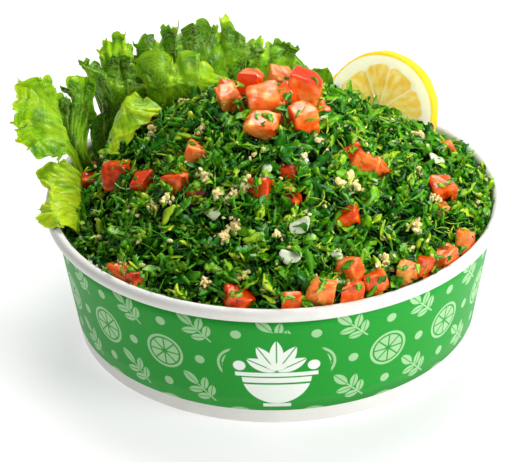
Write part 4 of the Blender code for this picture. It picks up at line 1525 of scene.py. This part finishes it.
@dataclass
class Salad:
    """The heap: a core coloured near black as painted shade, under loose herbs, grains, onion and mixed-in
    tomato.
    """

    bench: Bench
    heap: HeapShape
    bowl: BowlShape
    scatter: Scatter
    herb: bpy.types.Material
    bulgur: bpy.types.Material
    onion: bpy.types.Material
    tomato: bpy.types.Material
    over_dice: Array = field(default_factory=lambda: np.zeros((0, 3)))
    core_depth: float = 2.6
    # The low layers take dark tones as painted shade and the top layers light tones as painted light, with
    # random tone within each range.
    kinds: tuple[HerbKind, ...] = (
        HerbKind("parsley_bits_low_painted_shade", 1500, True, (4.5, 10.0), (2.6, 5.0), (-2.8, -0.2), (0.0, 0.36), 24),
        HerbKind("parsley_bits_green", 1600, True, (5.0, 12.0), (3.0, 6.0), (-0.8, 1.8), (0.3, 0.76),
                 25, 0.6, 0.45),
        HerbKind("parsley_bits_top_fresh_and_painted_lit", 850, True, (4.0, 10.0), (2.0, 4.8), (0.2, 2.6), (0.52, 0.98),
                 26, 0.7, 0.4),
        HerbKind("parsley_shreds_low_painted_shade", 1900, False, (5.0, 12.0), (1.5, 2.9), (-2.2, 0.2), (0.02, 0.42), 21),
        HerbKind("parsley_shreds_green", 2000, False, (6.0, 14.0), (1.9, 3.8), (-0.6, 2.1), (0.3, 0.78),
                 22, 0.6, 0.5),
        HerbKind("parsley_shreds_top_fresh_and_painted_lit", 950, False, (5.0, 12.0), (1.3, 2.9), (0.2, 2.8), (0.55, 1.0),
                 23, 0.7, 0.4),
        HerbKind("parsley_crumbs", 600, True, (2.0, 4.0), (1.2, 2.4), (-0.5, 2.2), (0.3, 1.0), 27, 0.8))

    def build_core(self) -> None:
        """The core: the heap's surface sunk by core_depth, with relief finer than the herbs, coloured near
        black as painted shade.
        """
        rings, columns = 84, 210
        share = np.linspace(0.004, 1.0, rings)[:, None]
        turn = np.linspace(0, TAU, columns, endpoint=False)[None, :]
        edge = self.bowl.inner(50.0) - 0.4
        x, y = share * edge * np.cos(turn), share * edge * np.sin(turn)
        top = self.heap.height(x, y) - self.core_depth
        place = np.stack([x, y, top], -1)
        top = top + 0.8 * swell(place, 6.0, 31, 3) + self.lumps(x, y)
        radii = np.minimum(share * edge, self.bowl.inner(top) - 0.35)
        upper = np.stack([radii * np.cos(turn), radii * np.sin(turn), top], -1)
        low = self.bowl.base + 1.1
        down = np.linspace(1.0, 0.0, 6)[1:, None]
        side_z = low + (upper[-1, :, 2][None, :] - low) * down
        side_r = self.bowl.inner(side_z) - 0.35
        side = np.stack([side_r * np.cos(turn), side_r * np.sin(turn), side_z], -1)
        points = np.concatenate([upper, side])
        rows = rings + len(down)
        faces = grid_quads(rows, columns, wrap=True)[:, ::-1]
        caps = [np.arange(columns)[None, :], (np.arange(columns) + (rows - 1) * columns)[None, ::-1]]
        # A tone near 0.08 is near black: painted shade that shows in the gaps between the herbs.
        tone = 0.08 + 0.12 * swell(points, 4.0, 33, 3)
        core = self.bench.make("salad_core", points, [faces, *caps], self.herb, Slot.SALAD,
                               values={"tone": tone})
        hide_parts("tabbouleh")

    def lumps(self, x: Array, y: Array) -> Array:
        """How far the loose salad stands above or below the heap's surface, in millimetres."""
        place = np.stack([x, y], -1)
        dip = 6.0 * np.exp(-((x - 45.0) / 11.0) ** 2 - ((y - 30.0) / 18.0) ** 2)
        return 1.3 * swell(place, 15.0, 5, 1) + 1.0 * swell(place, 7.5, 6, 1) - dip

    def build_herbs(self) -> None:
        """Scatter each kind of herb in its own layer, higher on the lumps and absent from the gaps."""
        for kind in self.kinds:
            rng = np.random.default_rng(kind.seed)
            x, y = self.scatter.spots(kind.count, rng)
            lift = rng.uniform(*kind.lift, kind.count)
            lumps = self.lumps(x, y)
            centres = np.stack([x, y, self.heap.height(x, y)], -1)
            centres += self.heap.normals(x, y) * (lift + lumps)[:, None]
            hollow = swell(np.stack([x, y], -1), 8.0, 8, 2)
            keep = self.scatter.free(centres) & (hollow < kind.gaps)
            x, y, centres, lumps = x[keep], y[keep], centres[keep], lumps[keep]
            count = len(x)
            # Tone rises with the lumps: painted light on their tops, painted shade in their hollows.
            tone = (rng.uniform(*kind.tone, count) + 0.05 * lumps)[:, None]
            if kind.leafy:
                local, faces, shade = leaf_shapes(count, rng, kind.length, kind.width, 0.3)
                tone = tone + shade
            else:
                local, faces = curl_shapes(count, rng, kind.length, kind.width, 2.1, 0.35)
                tone = np.repeat(tone, local.shape[1], axis=1)
            frames = self.scatter.frames(x, y, rng, kind.tilt)
            placed = self.scatter.settle(local, frames, centres)
            self.bench.make(kind.name, placed, faces, self.herb, Slot.SALAD, values={"tone": tone})

    def build_sprigs(self) -> None:
        """Larger uncut leaves, some of them standing up on the heap."""
        rng = np.random.default_rng(29)
        chosen = ((22, 16, 3.5), (27, 12, 3.0), (28, 19, 2.6), (24, 23, 3.5), (19, -2, 3.0),
                  (-13, -8, 3.0), (-12, 0, 3.5), (-22, 0, 3.0), (4, -22, 2.6),
                  (16, -20, 2.6), (-15, -83, 5.0), (-12, -82, 4.6), (-20, -80, 3.0), (-10, -66, 2.8),
                  (-3, -60, 2.8), (-13, -50, 2.8), (70, 10, 3.0), (74, 0, 3.0), (62, 22, 3.2),
                  (-60, -42, 2.6), (-52, -60, 2.6), (-43, -9, 3.0), (-57, 4, 2.6), (48, -8, 2.8),
                  (20, -44, 2.6), (-36, 6, 3.0), (0, 30, 3.0), (8, 31, 3.0), (-24, 22, 3.0))
        x, y, lift = (np.array([c[k] for c in chosen], float) for k in (0, 1, 2))
        more = 620
        more_x, more_y = self.scatter.spots(more, rng)
        x, y = np.concatenate([x, more_x]), np.concatenate([y, more_y])
        lift = np.concatenate([lift, rng.uniform(0.4, 2.2, more)])
        centres = np.stack([x, y, self.heap.height(x, y)], -1)
        centres += self.heap.normals(x, y) * (lift + self.lumps(x, y))[:, None]
        keep = self.scatter.free(centres)
        x, y, centres = x[keep], y[keep], centres[keep]
        local, faces, shade = leaf_shapes(len(x), rng, (8.0, 13.5), (3.2, 6.0), 0.35, 11)
        placed = self.scatter.settle(local, self.scatter.frames(x, y, rng, 0.45), centres)
        tone = rng.uniform(0.25, 0.7, len(x))[:, None] + shade
        self.bench.make("parsley_leaves", placed, faces, self.herb, Slot.SALAD, values={"tone": tone})

    def build_clinging(self) -> None:
        """Small bits of herb that cling to the diced tomato on the peak and lie between the dice."""
        rng = np.random.default_rng(30)
        places = np.array([(-6.5, -15.5, 99.8), (-2.0, -16.5, 99.6), (-4.0, -19.3, 98.0), (-8.5, -13.0, 98.5),
                           (10.5, -15.5, 101.8), (14.5, -17.0, 99.5), (8.0, -16.5, 97.5), (17.0, 3.5, 105.6),
                           (-9.5, -6.5, 97.5), (-8.5, -9.5, 98.5), (4.5, -8.5, 99.5), (3.5, 8.0, 101.5),
                           (-12.5, 2.0, 98.0), (-14.5, 9.5, 101.0), (5.0, 12.5, 102.0), (20.5, 9.0, 98.5),
                           (-20.0, 2.0, 98.0), (5.5, -2.5, 101.0), (18.0, -4.0, 98.0), (-1.0, 7.5, 100.5)])
        centres = np.repeat(places, 2, axis=0) + rng.normal(0, 0.7, (len(places) * 2, 3)) * (1, 1, 0.3)
        centres = np.concatenate([centres, self.over_dice])
        local, faces, shade = leaf_shapes(len(centres), rng, (3.0, 6.5), (1.2, 2.6), 0.3)
        frames = self.scatter.frames(centres[:, 0], centres[:, 1], rng, 0.3)
        placed = self.scatter.settle(local, frames, centres)
        tone = rng.uniform(0.3, 0.8, len(centres))[:, None] + shade
        self.bench.make("parsley_clinging", placed, faces, self.herb, Slot.SALAD, values={"tone": tone})

    def build_stems(self) -> None:
        """Thin pale stems, longer than the shreds."""
        rng = np.random.default_rng(51)
        count = 620
        x, y = self.scatter.spots(count, rng)
        centres = np.stack([x, y, self.heap.height(x, y)], -1)
        centres += self.heap.normals(x, y) * rng.uniform(0.2, 2.4, count)[:, None]
        keep = self.scatter.free(centres)
        x, y, centres = x[keep], y[keep], centres[keep]
        local, faces = curl_shapes(len(x), rng, (6.0, 15.0), (0.45, 0.8), 1.6, 0.45)
        placed = self.scatter.settle(local, self.scatter.frames(x, y, rng, 0.35), centres)
        tone = np.repeat(rng.uniform(0.5, 1.0, len(x)), local.shape[1])
        self.bench.make("parsley_stems", placed, faces, self.herb, Slot.SALAD, values={"tone": tone})

    def build_bulgur(self) -> None:
        """Clumps of bulgur at chosen places, and loose grains all over."""
        rng = np.random.default_rng(61)
        # Each clump: x, y, and half its number of grains.
        clumps = ((-34, -21, 14), (-30, -18, 12), (-26, -34, 16), (-28, -7, 14), (-21, -43, 12),
                  (-18, -46, 10), (-14, -44, 14), (-10, -43, 10), (-15, -57, 16), (-19, -60, 12),
                  (-26, -76, 8), (-11, -74, 7), (25, -39, 16), (31, -37, 18), (28, -34, 12),
                  (49, -57, 14), (42, -65, 10), (58, 14, 12), (56, -15, 9), (53, -45, 12),
                  (56, -49, 10), (-66, 3, 8), (-40, -38, 8), (-46, -39, 6), (-58, -57, 9),
                  (-69, 19, 10), (10, -30, 6), (30, 20, 9), (-20, 30, 10), (5, 45, 9), (48, 34, 8),
                  (62, -28, 7), (-48, 8, 8), (2, -62, 7), (18, -20, 6), (-36, 38, 8))
        centre = np.repeat(np.array([c[:2] for c in clumps], float), [c[2] * 2 for c in clumps], axis=0)
        clumped = centre + rng.normal(0, 1.15, centre.shape)
        x, y = self.scatter.spots(620, rng)
        x, y = np.concatenate([clumped[:, 0], x]), np.concatenate([clumped[:, 1], y])
        tight = np.arange(len(x)) < len(clumped)
        lift = np.where(tight, rng.uniform(1.2, 3.8, len(x)), rng.uniform(-0.4, 2.4, len(x)))
        lift = lift + self.lumps(x, y)
        centres = np.stack([x, y, self.heap.height(x, y)], -1) + self.heap.normals(x, y) * lift[:, None]
        keep = self.scatter.free(centres)
        x, y, centres = x[keep], y[keep], centres[keep]
        local, faces = grain_shapes(len(x), rng, (1.5, 3.0))
        placed = self.scatter.settle(local, self.scatter.frames(x, y, rng, 1.0), centres)
        tone = np.repeat(rng.uniform(0.3, 1.0, len(x)), local.shape[1])
        self.bench.make("bulgur_grains", placed, faces, self.bulgur, Slot.SALAD, Shading.FACETED,
                        values={"tone": tone})

    def build_onion(self) -> None:
        """Diced onion: small bent slabs, partly sunk between the herbs."""
        rng = np.random.default_rng(71)
        # Each slab: x, y, length, width, heading in degrees, lift.
        chosen = ((-3, -39, 7.5, 3.4, 80, 2.6), (-2, -35, 4.0, 2.6, 95, 2.8), (9, -59, 7.4, 5.6, 20, 2.8),
                  (5, -70, 7.4, 5.0, -15, 2.8), (-22, -51, 5.6, 4.0, 10, 2.2), (-69, -28, 5.0, 4.0, 60, 2.0),
                  (-71, -47, 6.6, 4.6, 70, 3.0), (-67, -53, 4.4, 3.4, 20, 2.6), (63, -2, 7.0, 5.4, 15, 3.2),
                  (23, -67, 5.0, 4.2, 40, 2.2), (24, -76, 4.4, 3.4, 0, 2.0), (44, -51, 3.8, 3.2, 70, 2.0),
                  (11, -32, 4.6, 2.8, 60, 2.6), (-43, -78, 5.0, 4.0, 30, 2.4), (30, 40, 5.0, 4.0, 10, 1.8),
                  (-30, 22, 4.6, 3.8, 50, 1.8), (-8, 50, 5.2, 4.2, 0, 1.8), (55, 28, 4.4, 3.6, 80, 1.8),
                  (20, -7, 4.0, 2.6, 0, 1.8), (29, -6, 3.6, 2.6, 20, 1.8), (38, -32, 3.4, 2.6, 90, 1.6))
        unit, quads = cube_grid(6)
        rounded = unit / (np.abs(unit) ** 3.4).sum(1, keepdims=True) ** (1 / 3.4)
        count = len(chosen)
        size = np.array([(c[2], c[3], 1.5) for c in chosen])[:, None, :] / 2
        local = rounded[None] * size
        local[..., 2] += rng.uniform(-0.06, 0.06, (count, 1)) * local[..., 0] ** 2 * 2
        uneven = swell(local + np.arange(count)[:, None, None] * 9.0, 4.5, 72, 1)[..., None] * 0.6
        local += uneven * rounded[None] * (1.0, 1.0, 0.3)
        x, y = (np.array([c[k] for c in chosen], float) for k in (0, 1))
        centres = np.stack([x, y, self.heap.height(x, y)], -1) + self.heap.normals(x, y) * (
            np.array([c[5] for c in chosen]) + self.lumps(x, y))[:, None]
        heading = np.radians([c[4] for c in chosen])
        frames = self.scatter.frames(x, y, rng, 0.25, heading)
        placed = self.scatter.settle(local, frames, centres)
        start = (np.arange(count) * len(unit))[:, None, None]
        tone = np.repeat(rng.uniform(0.4, 1.0, count), len(unit))
        self.bench.make("onion_dice", placed, [(quads[None] + start).reshape(-1, 4)], self.onion,
                        Slot.SALAD, values={"tone": tone})

    def build_tomato(self) -> None:
        """Tomato dice mixed into the salad: place, size and how far each stands out."""
        rng = np.random.default_rng(81)
        # Each die: x, y, size, how far it stands out, tone, side with skin, how bare of herbs.
        chosen = ((-74, 8, 8, 1.4, -0.4, 0, 0.5), (-74, 30, 7, 0.9, -0.4, 0, 0.4),
                  (-62, -12, 9, 1.8, -0.2, 0, 0.5), (-51, -22, 9, 2.2, 0.1, 3, 0.6),
                  (-37, -31, 9, 1.4, 0.1, 0, 0.5), (-30, -37, 7, -0.6, -0.5, 0, 0.2),
                  (-31, -18, 10, 1.4, 0.8, 0, 0.5), (-60, -62, 10, 1.8, 0.3, 0, 0.45),
                  (-54, -65, 8, 0.9, 0.0, 0, 0.3), (36, -24, 11, 0.4, 0.5, 0, 0.25),
                  (41, -24, 8, 0.2, 0.4, 0, 0.2), (31, -20, 8, -0.2, -0.2, 0, 0.2),
                  (28, -51, 9, 1.4, -0.2, -1, 0.5), (66, -20, 9, 1.2, 0.1, 0, 0.4),
                  (65, -30, 6, 0.4, 0.8, 0, 0.3), (28, -72, 8, 1.2, 0.4, 0, 0.4),
                  (38, -74, 8, 2.2, 0.2, 0, 0.5), (50, -68, 8, 2.6, 1.0, 0, 0.5),
                  (56, -64, 8, 2.8, -0.1, 2, 0.5), (66, -54, 10, 2.0, 0.4, 0, 0.4),
                  (74, -43, 9, 2.4, 0.6, 0, 0.5), (-14, -83, 9, 1.4, -0.1, 3, 0.4),
                  (6, -86, 6, 1.2, 0.3, 0, 0.4), (17, -82, 9, 2.4, 0.8, 0, 0.5),
                  (29, -83, 8, 1.0, 0.3, 0, 0.3), (6, -34, 9, -0.6, -0.5, 0, 0.2),
                  (-5, -42, 9, 0.4, -0.2, 0, 0.3), (6, -45, 8, 0.0, -0.3, 0, 0.3),
                  (40, 25, 8, 0.6, 0.0, 0, 0.3), (-18, 34, 8, 0.6, 0.3, 0, 0.4),
                  (-50, 28, 8, -0.6, 0.0, 0, 0.2), (15, 55, 8, 0.6, 0.1, 1, 0.5),
                  (70, 22, 8, 0.4, 0.4, 0, 0.3), (-2, 66, 7, 0.4, 0.0, 0, 0.3),
                  (4, 5, 9, 3.6, 0.3, 0, 0.3), (-12, 5, 8, 2.4, 0.5, 0, 0.3),
                  (4, -8, 8, 1.4, 0.0, 0, 0.3), (-2, 12, 8, 2.6, 0.4, 0, 0.3),
                  (18, 0, 8, 1.0, 0.1, 0, 0.3))
        x, y = (np.array([c[k] for c in chosen], float) for k in (0, 1))
        height = self.heap.height(x, y) + self.lumps(x, y)
        dice = []
        for px, py, z, (_, _, size, stand, tone, skin, _) in zip(x, y, height, chosen):
            sides = tuple(size * rng.uniform(0.86, 1.2, 3))
            dice.append(Die((px, py, z + stand - size * 0.12), sides, tuple(rng.uniform(-30, 30, 3)),
                            skin, tone - 0.15))
            over = np.array([px, py - size * 0.2, z + stand + size * 0.42])
            self.over_dice = np.concatenate([self.over_dice, over + rng.normal(0, 1, (3, 3)) * (
                size * 0.34, size * 0.3, 0.5)])
        self.scatter.bare = np.array([(*die.centre, c[6] * max(die.size)) for die, c in zip(dice, chosen)])
        self.scatter.bare[:, 1:3] += self.scatter.bare[:, 3:] * (-0.2, 0.35)
        points, faces, values = dice_arrays(dice, 8, 90, 0.16)
        radius = np.hypot(points[:, 0], points[:, 1])
        limit = self.bowl.inner(np.minimum(points[:, 2], self.bowl.under_roll)) - 0.3
        points[:, :2] *= np.minimum(1.0, limit / np.maximum(radius, 1e-6))[:, None]
        self.bench.make("tomato_mixed", points, [faces], self.tomato, Slot.TOMATO, values=values)

    def build(self) -> None:
        """Build the core and everything on it."""
        self.build_core()
        self.build_tomato()
        self.build_herbs()
        self.build_sprigs()
        self.build_stems()
        self.build_bulgur()
        self.build_onion()
        self.build_clinging()


@dataclass
class Studio:
    """A pale floor, soft lights and the camera."""

    bench: Bench
    distance: float = 984.0
    elevation: float = 30.69
    stand: float = 30.0
    aim: tuple[float, float, float] = (-6.0, 0.0, 39.1)
    roll: float = -1.02
    lens: float = 166.15
    sensor: float = 36.0

    def build_floor(self) -> None:
        """A large plain floor."""
        material = bpy.data.materials.new("floor_white")
        material.use_nodes = True
        principled = material.node_tree.nodes["Principled BSDF"]
        principled.inputs["Base Color"].default_value = paint(188, 188, 188)
        principled.inputs["Emission Color"].default_value = (1.0, 1.0, 1.0, 1.0)
        principled.inputs["Emission Strength"].default_value = 0.56
        principled.inputs["Roughness"].default_value = 0.8
        half = 4.0
        mesh = bpy.data.meshes.new("floor")
        mesh.from_pydata([(-half, -half, 0), (half, -half, 0), (half, half, 0), (-half, half, 0)],
                         [], [(0, 1, 2, 3)])
        mesh.materials.append(material)
        floor = bpy.data.objects.new("floor", mesh)
        bpy.context.scene.collection.objects.link(floor)

    def build_light(self, name: str, place: tuple[float, float, float], size: float, power: float,
                    aim: tuple[float, float, float] = (0.0, 0.0, 0.05), spread: float = 180.0) -> None:
        """An area light that looks at the salad.

        Args:
            name: The light's name.
            place: Where it stands, in metres.
            size: Its side, in metres.
            power: Watts.
            aim: What it looks at, in metres.
            spread: How wide it shines, in degrees.
        """
        data = bpy.data.lights.new(name, "AREA")
        data.size = size
        data.energy = power
        data.spread = math.radians(spread)
        light = bpy.data.objects.new(name, data)
        bpy.context.scene.collection.objects.link(light)
        back = np.array(place) - np.array(aim)
        back /= np.linalg.norm(back)
        across = np.cross([0.0, 0.0, 1.0], back)
        across /= np.linalg.norm(across)
        up = np.cross(back, across)
        matrix = np.eye(4)
        matrix[:3, :3] = np.stack([across, up, back], 1)
        matrix[:3, 3] = place
        light.matrix_world = Matrix(matrix.tolist())

    def build_world(self) -> None:
        """Even white light from all round."""
        world = bpy.data.worlds.new("studio")
        world.use_nodes = True
        background = world.node_tree.nodes["Background"]
        background.inputs["Color"].default_value = (1.0, 1.0, 1.0, 1.0)
        background.inputs["Strength"].default_value = 0.26
        bpy.context.scene.world = world
        bpy.context.scene.view_settings.view_transform = "Standard"

    def build_camera(self) -> None:
        """The camera, set back from the front and looking down on the bowl."""
        angle = math.radians(self.elevation)
        eye = np.array([0.0, -self.distance * math.cos(angle), self.distance * math.sin(angle) + self.stand])
        forward = np.array(self.aim) - eye
        forward /= np.linalg.norm(forward)
        right = np.cross(forward, [0.0, 0.0, 1.0])
        right /= np.linalg.norm(right)
        up = np.cross(right, forward)
        c, s = math.cos(math.radians(self.roll)), math.sin(math.radians(self.roll))
        right, up = right * c + up * s, up * c - right * s
        matrix = np.eye(4)
        matrix[:3, :3] = np.stack([right, up, -forward], 1)
        matrix[:3, 3] = self.bench.to_row(eye)
        data = bpy.data.cameras.new("camera")
        data.sensor_width = self.sensor
        data.lens = self.lens
        data.clip_start = 0.05
        camera = bpy.data.objects.new("camera", data)
        bpy.context.scene.collection.objects.link(camera)
        camera.matrix_world = Matrix(matrix.tolist())
        bpy.context.scene.camera = camera

    def build(self) -> None:
        """Build the stage."""
        self.build_floor()
        self.build_light("back", (0.15, 0.7, 1.25), 0.8, 17.0)
        self.build_light("front", (1.2, -0.65, 0.75), 0.7, 19.5)
        self.build_light("kicker", (0.4, -1.2, 0.8), 0.12, 0.028, (0.04, 0.035, 0.085), 6.5)
        self.build_world()
        self.build_camera()


def main() -> None:
    """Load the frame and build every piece."""
    logging.basicConfig(level=logging.INFO, format="%(message)s")
    for old in list(bpy.data.objects):
        bpy.data.objects.remove(old, do_unlink=True)
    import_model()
    low, high = (np.array(corner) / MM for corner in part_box("bowl_wall"))
    heap_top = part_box("tabbouleh")[1].z / MM
    bench = Bench(float(low[0] + high[0]) / 2, float(low[1] + high[1]) / 2)
    bowl_shape = BowlShape(foot=80.8, rim=float(high[0] - low[0]) / 2, top=float(high[2]))
    heap_shape = HeapShape(peak=heap_top - 0.9, wall_top=bowl_shape.wall_top)
    effects = Effects()

    paper = PaperFinish("coated_paper", roughness=0.42, specular=0.35).build(effects)
    print_ink = PrintFinish("printed_paper", roughness=0.45, specular=0.22).build(effects)
    herb = HerbFinish("chopped_parsley", roughness=0.24, specular=0.34).build(effects)
    bulgur = GrainFinish("bulgur", roughness=0.42, specular=0.35, subsurface=0.2).build(effects)
    onion = GrainFinish("onion", roughness=0.22, specular=0.5, subsurface=0.4,
                        light=paint(226, 230, 206), dark=paint(176, 192, 148)).build(effects)
    tomato = TomatoFinish("cut_tomato", roughness=0.15, specular=0.5, subsurface=0.3,
                          subsurface_radius=(1.0, 0.35, 0.2), subsurface_scale=0.0015).build(effects)
    lemon = LemonFinish("cut_lemon", roughness=0.3, specular=0.45, subsurface=1.0,
                        subsurface_radius=(1.0, 0.9, 0.55), subsurface_scale=0.009).build(effects)
    lettuce = LettuceFinish("lettuce_leaf", roughness=0.28, specular=0.2,
                            subsurface=0.5, subsurface_radius=(0.7, 1.0, 0.12),
                            subsurface_scale=0.0012).build(effects)

    Bowl(bench, bowl_shape, paper, print_ink).build()
    tomatoes = TopTomatoes(bench, tomato)
    tomatoes.build()
    slice_of_lemon = Lemon(bench, lemon)
    slice_of_lemon.build()
    Lettuce(bench, lettuce).build()

    lemon_pose = rotations(np.array([[90.0 - slice_of_lemon.lean, 0.0, -slice_of_lemon.turn]]))[0]
    lemon_middle = np.array(slice_of_lemon.face_centre) - lemon_pose @ np.array(
        [0.0, 0.0, slice_of_lemon.thickness / 2])
    keep_out = [(lemon_pose, lemon_middle, np.array([25.0, 25.0, 4.2]))]
    for die in tomatoes.dice:
        keep_out.append((rotations(np.array([die.turn]))[0], np.array(die.centre),
                         np.array(die.size) / 2 + 0.4))
    scatter = Scatter(heap_shape, bowl_shape, keep_out)
    Salad(bench, heap_shape, bowl_shape, scatter, herb, bulgur, onion, tomato).build()

    Studio(bench).build()
    LOG.info("%d pieces", bench.pieces)


if __name__ == "__main__":
    main()
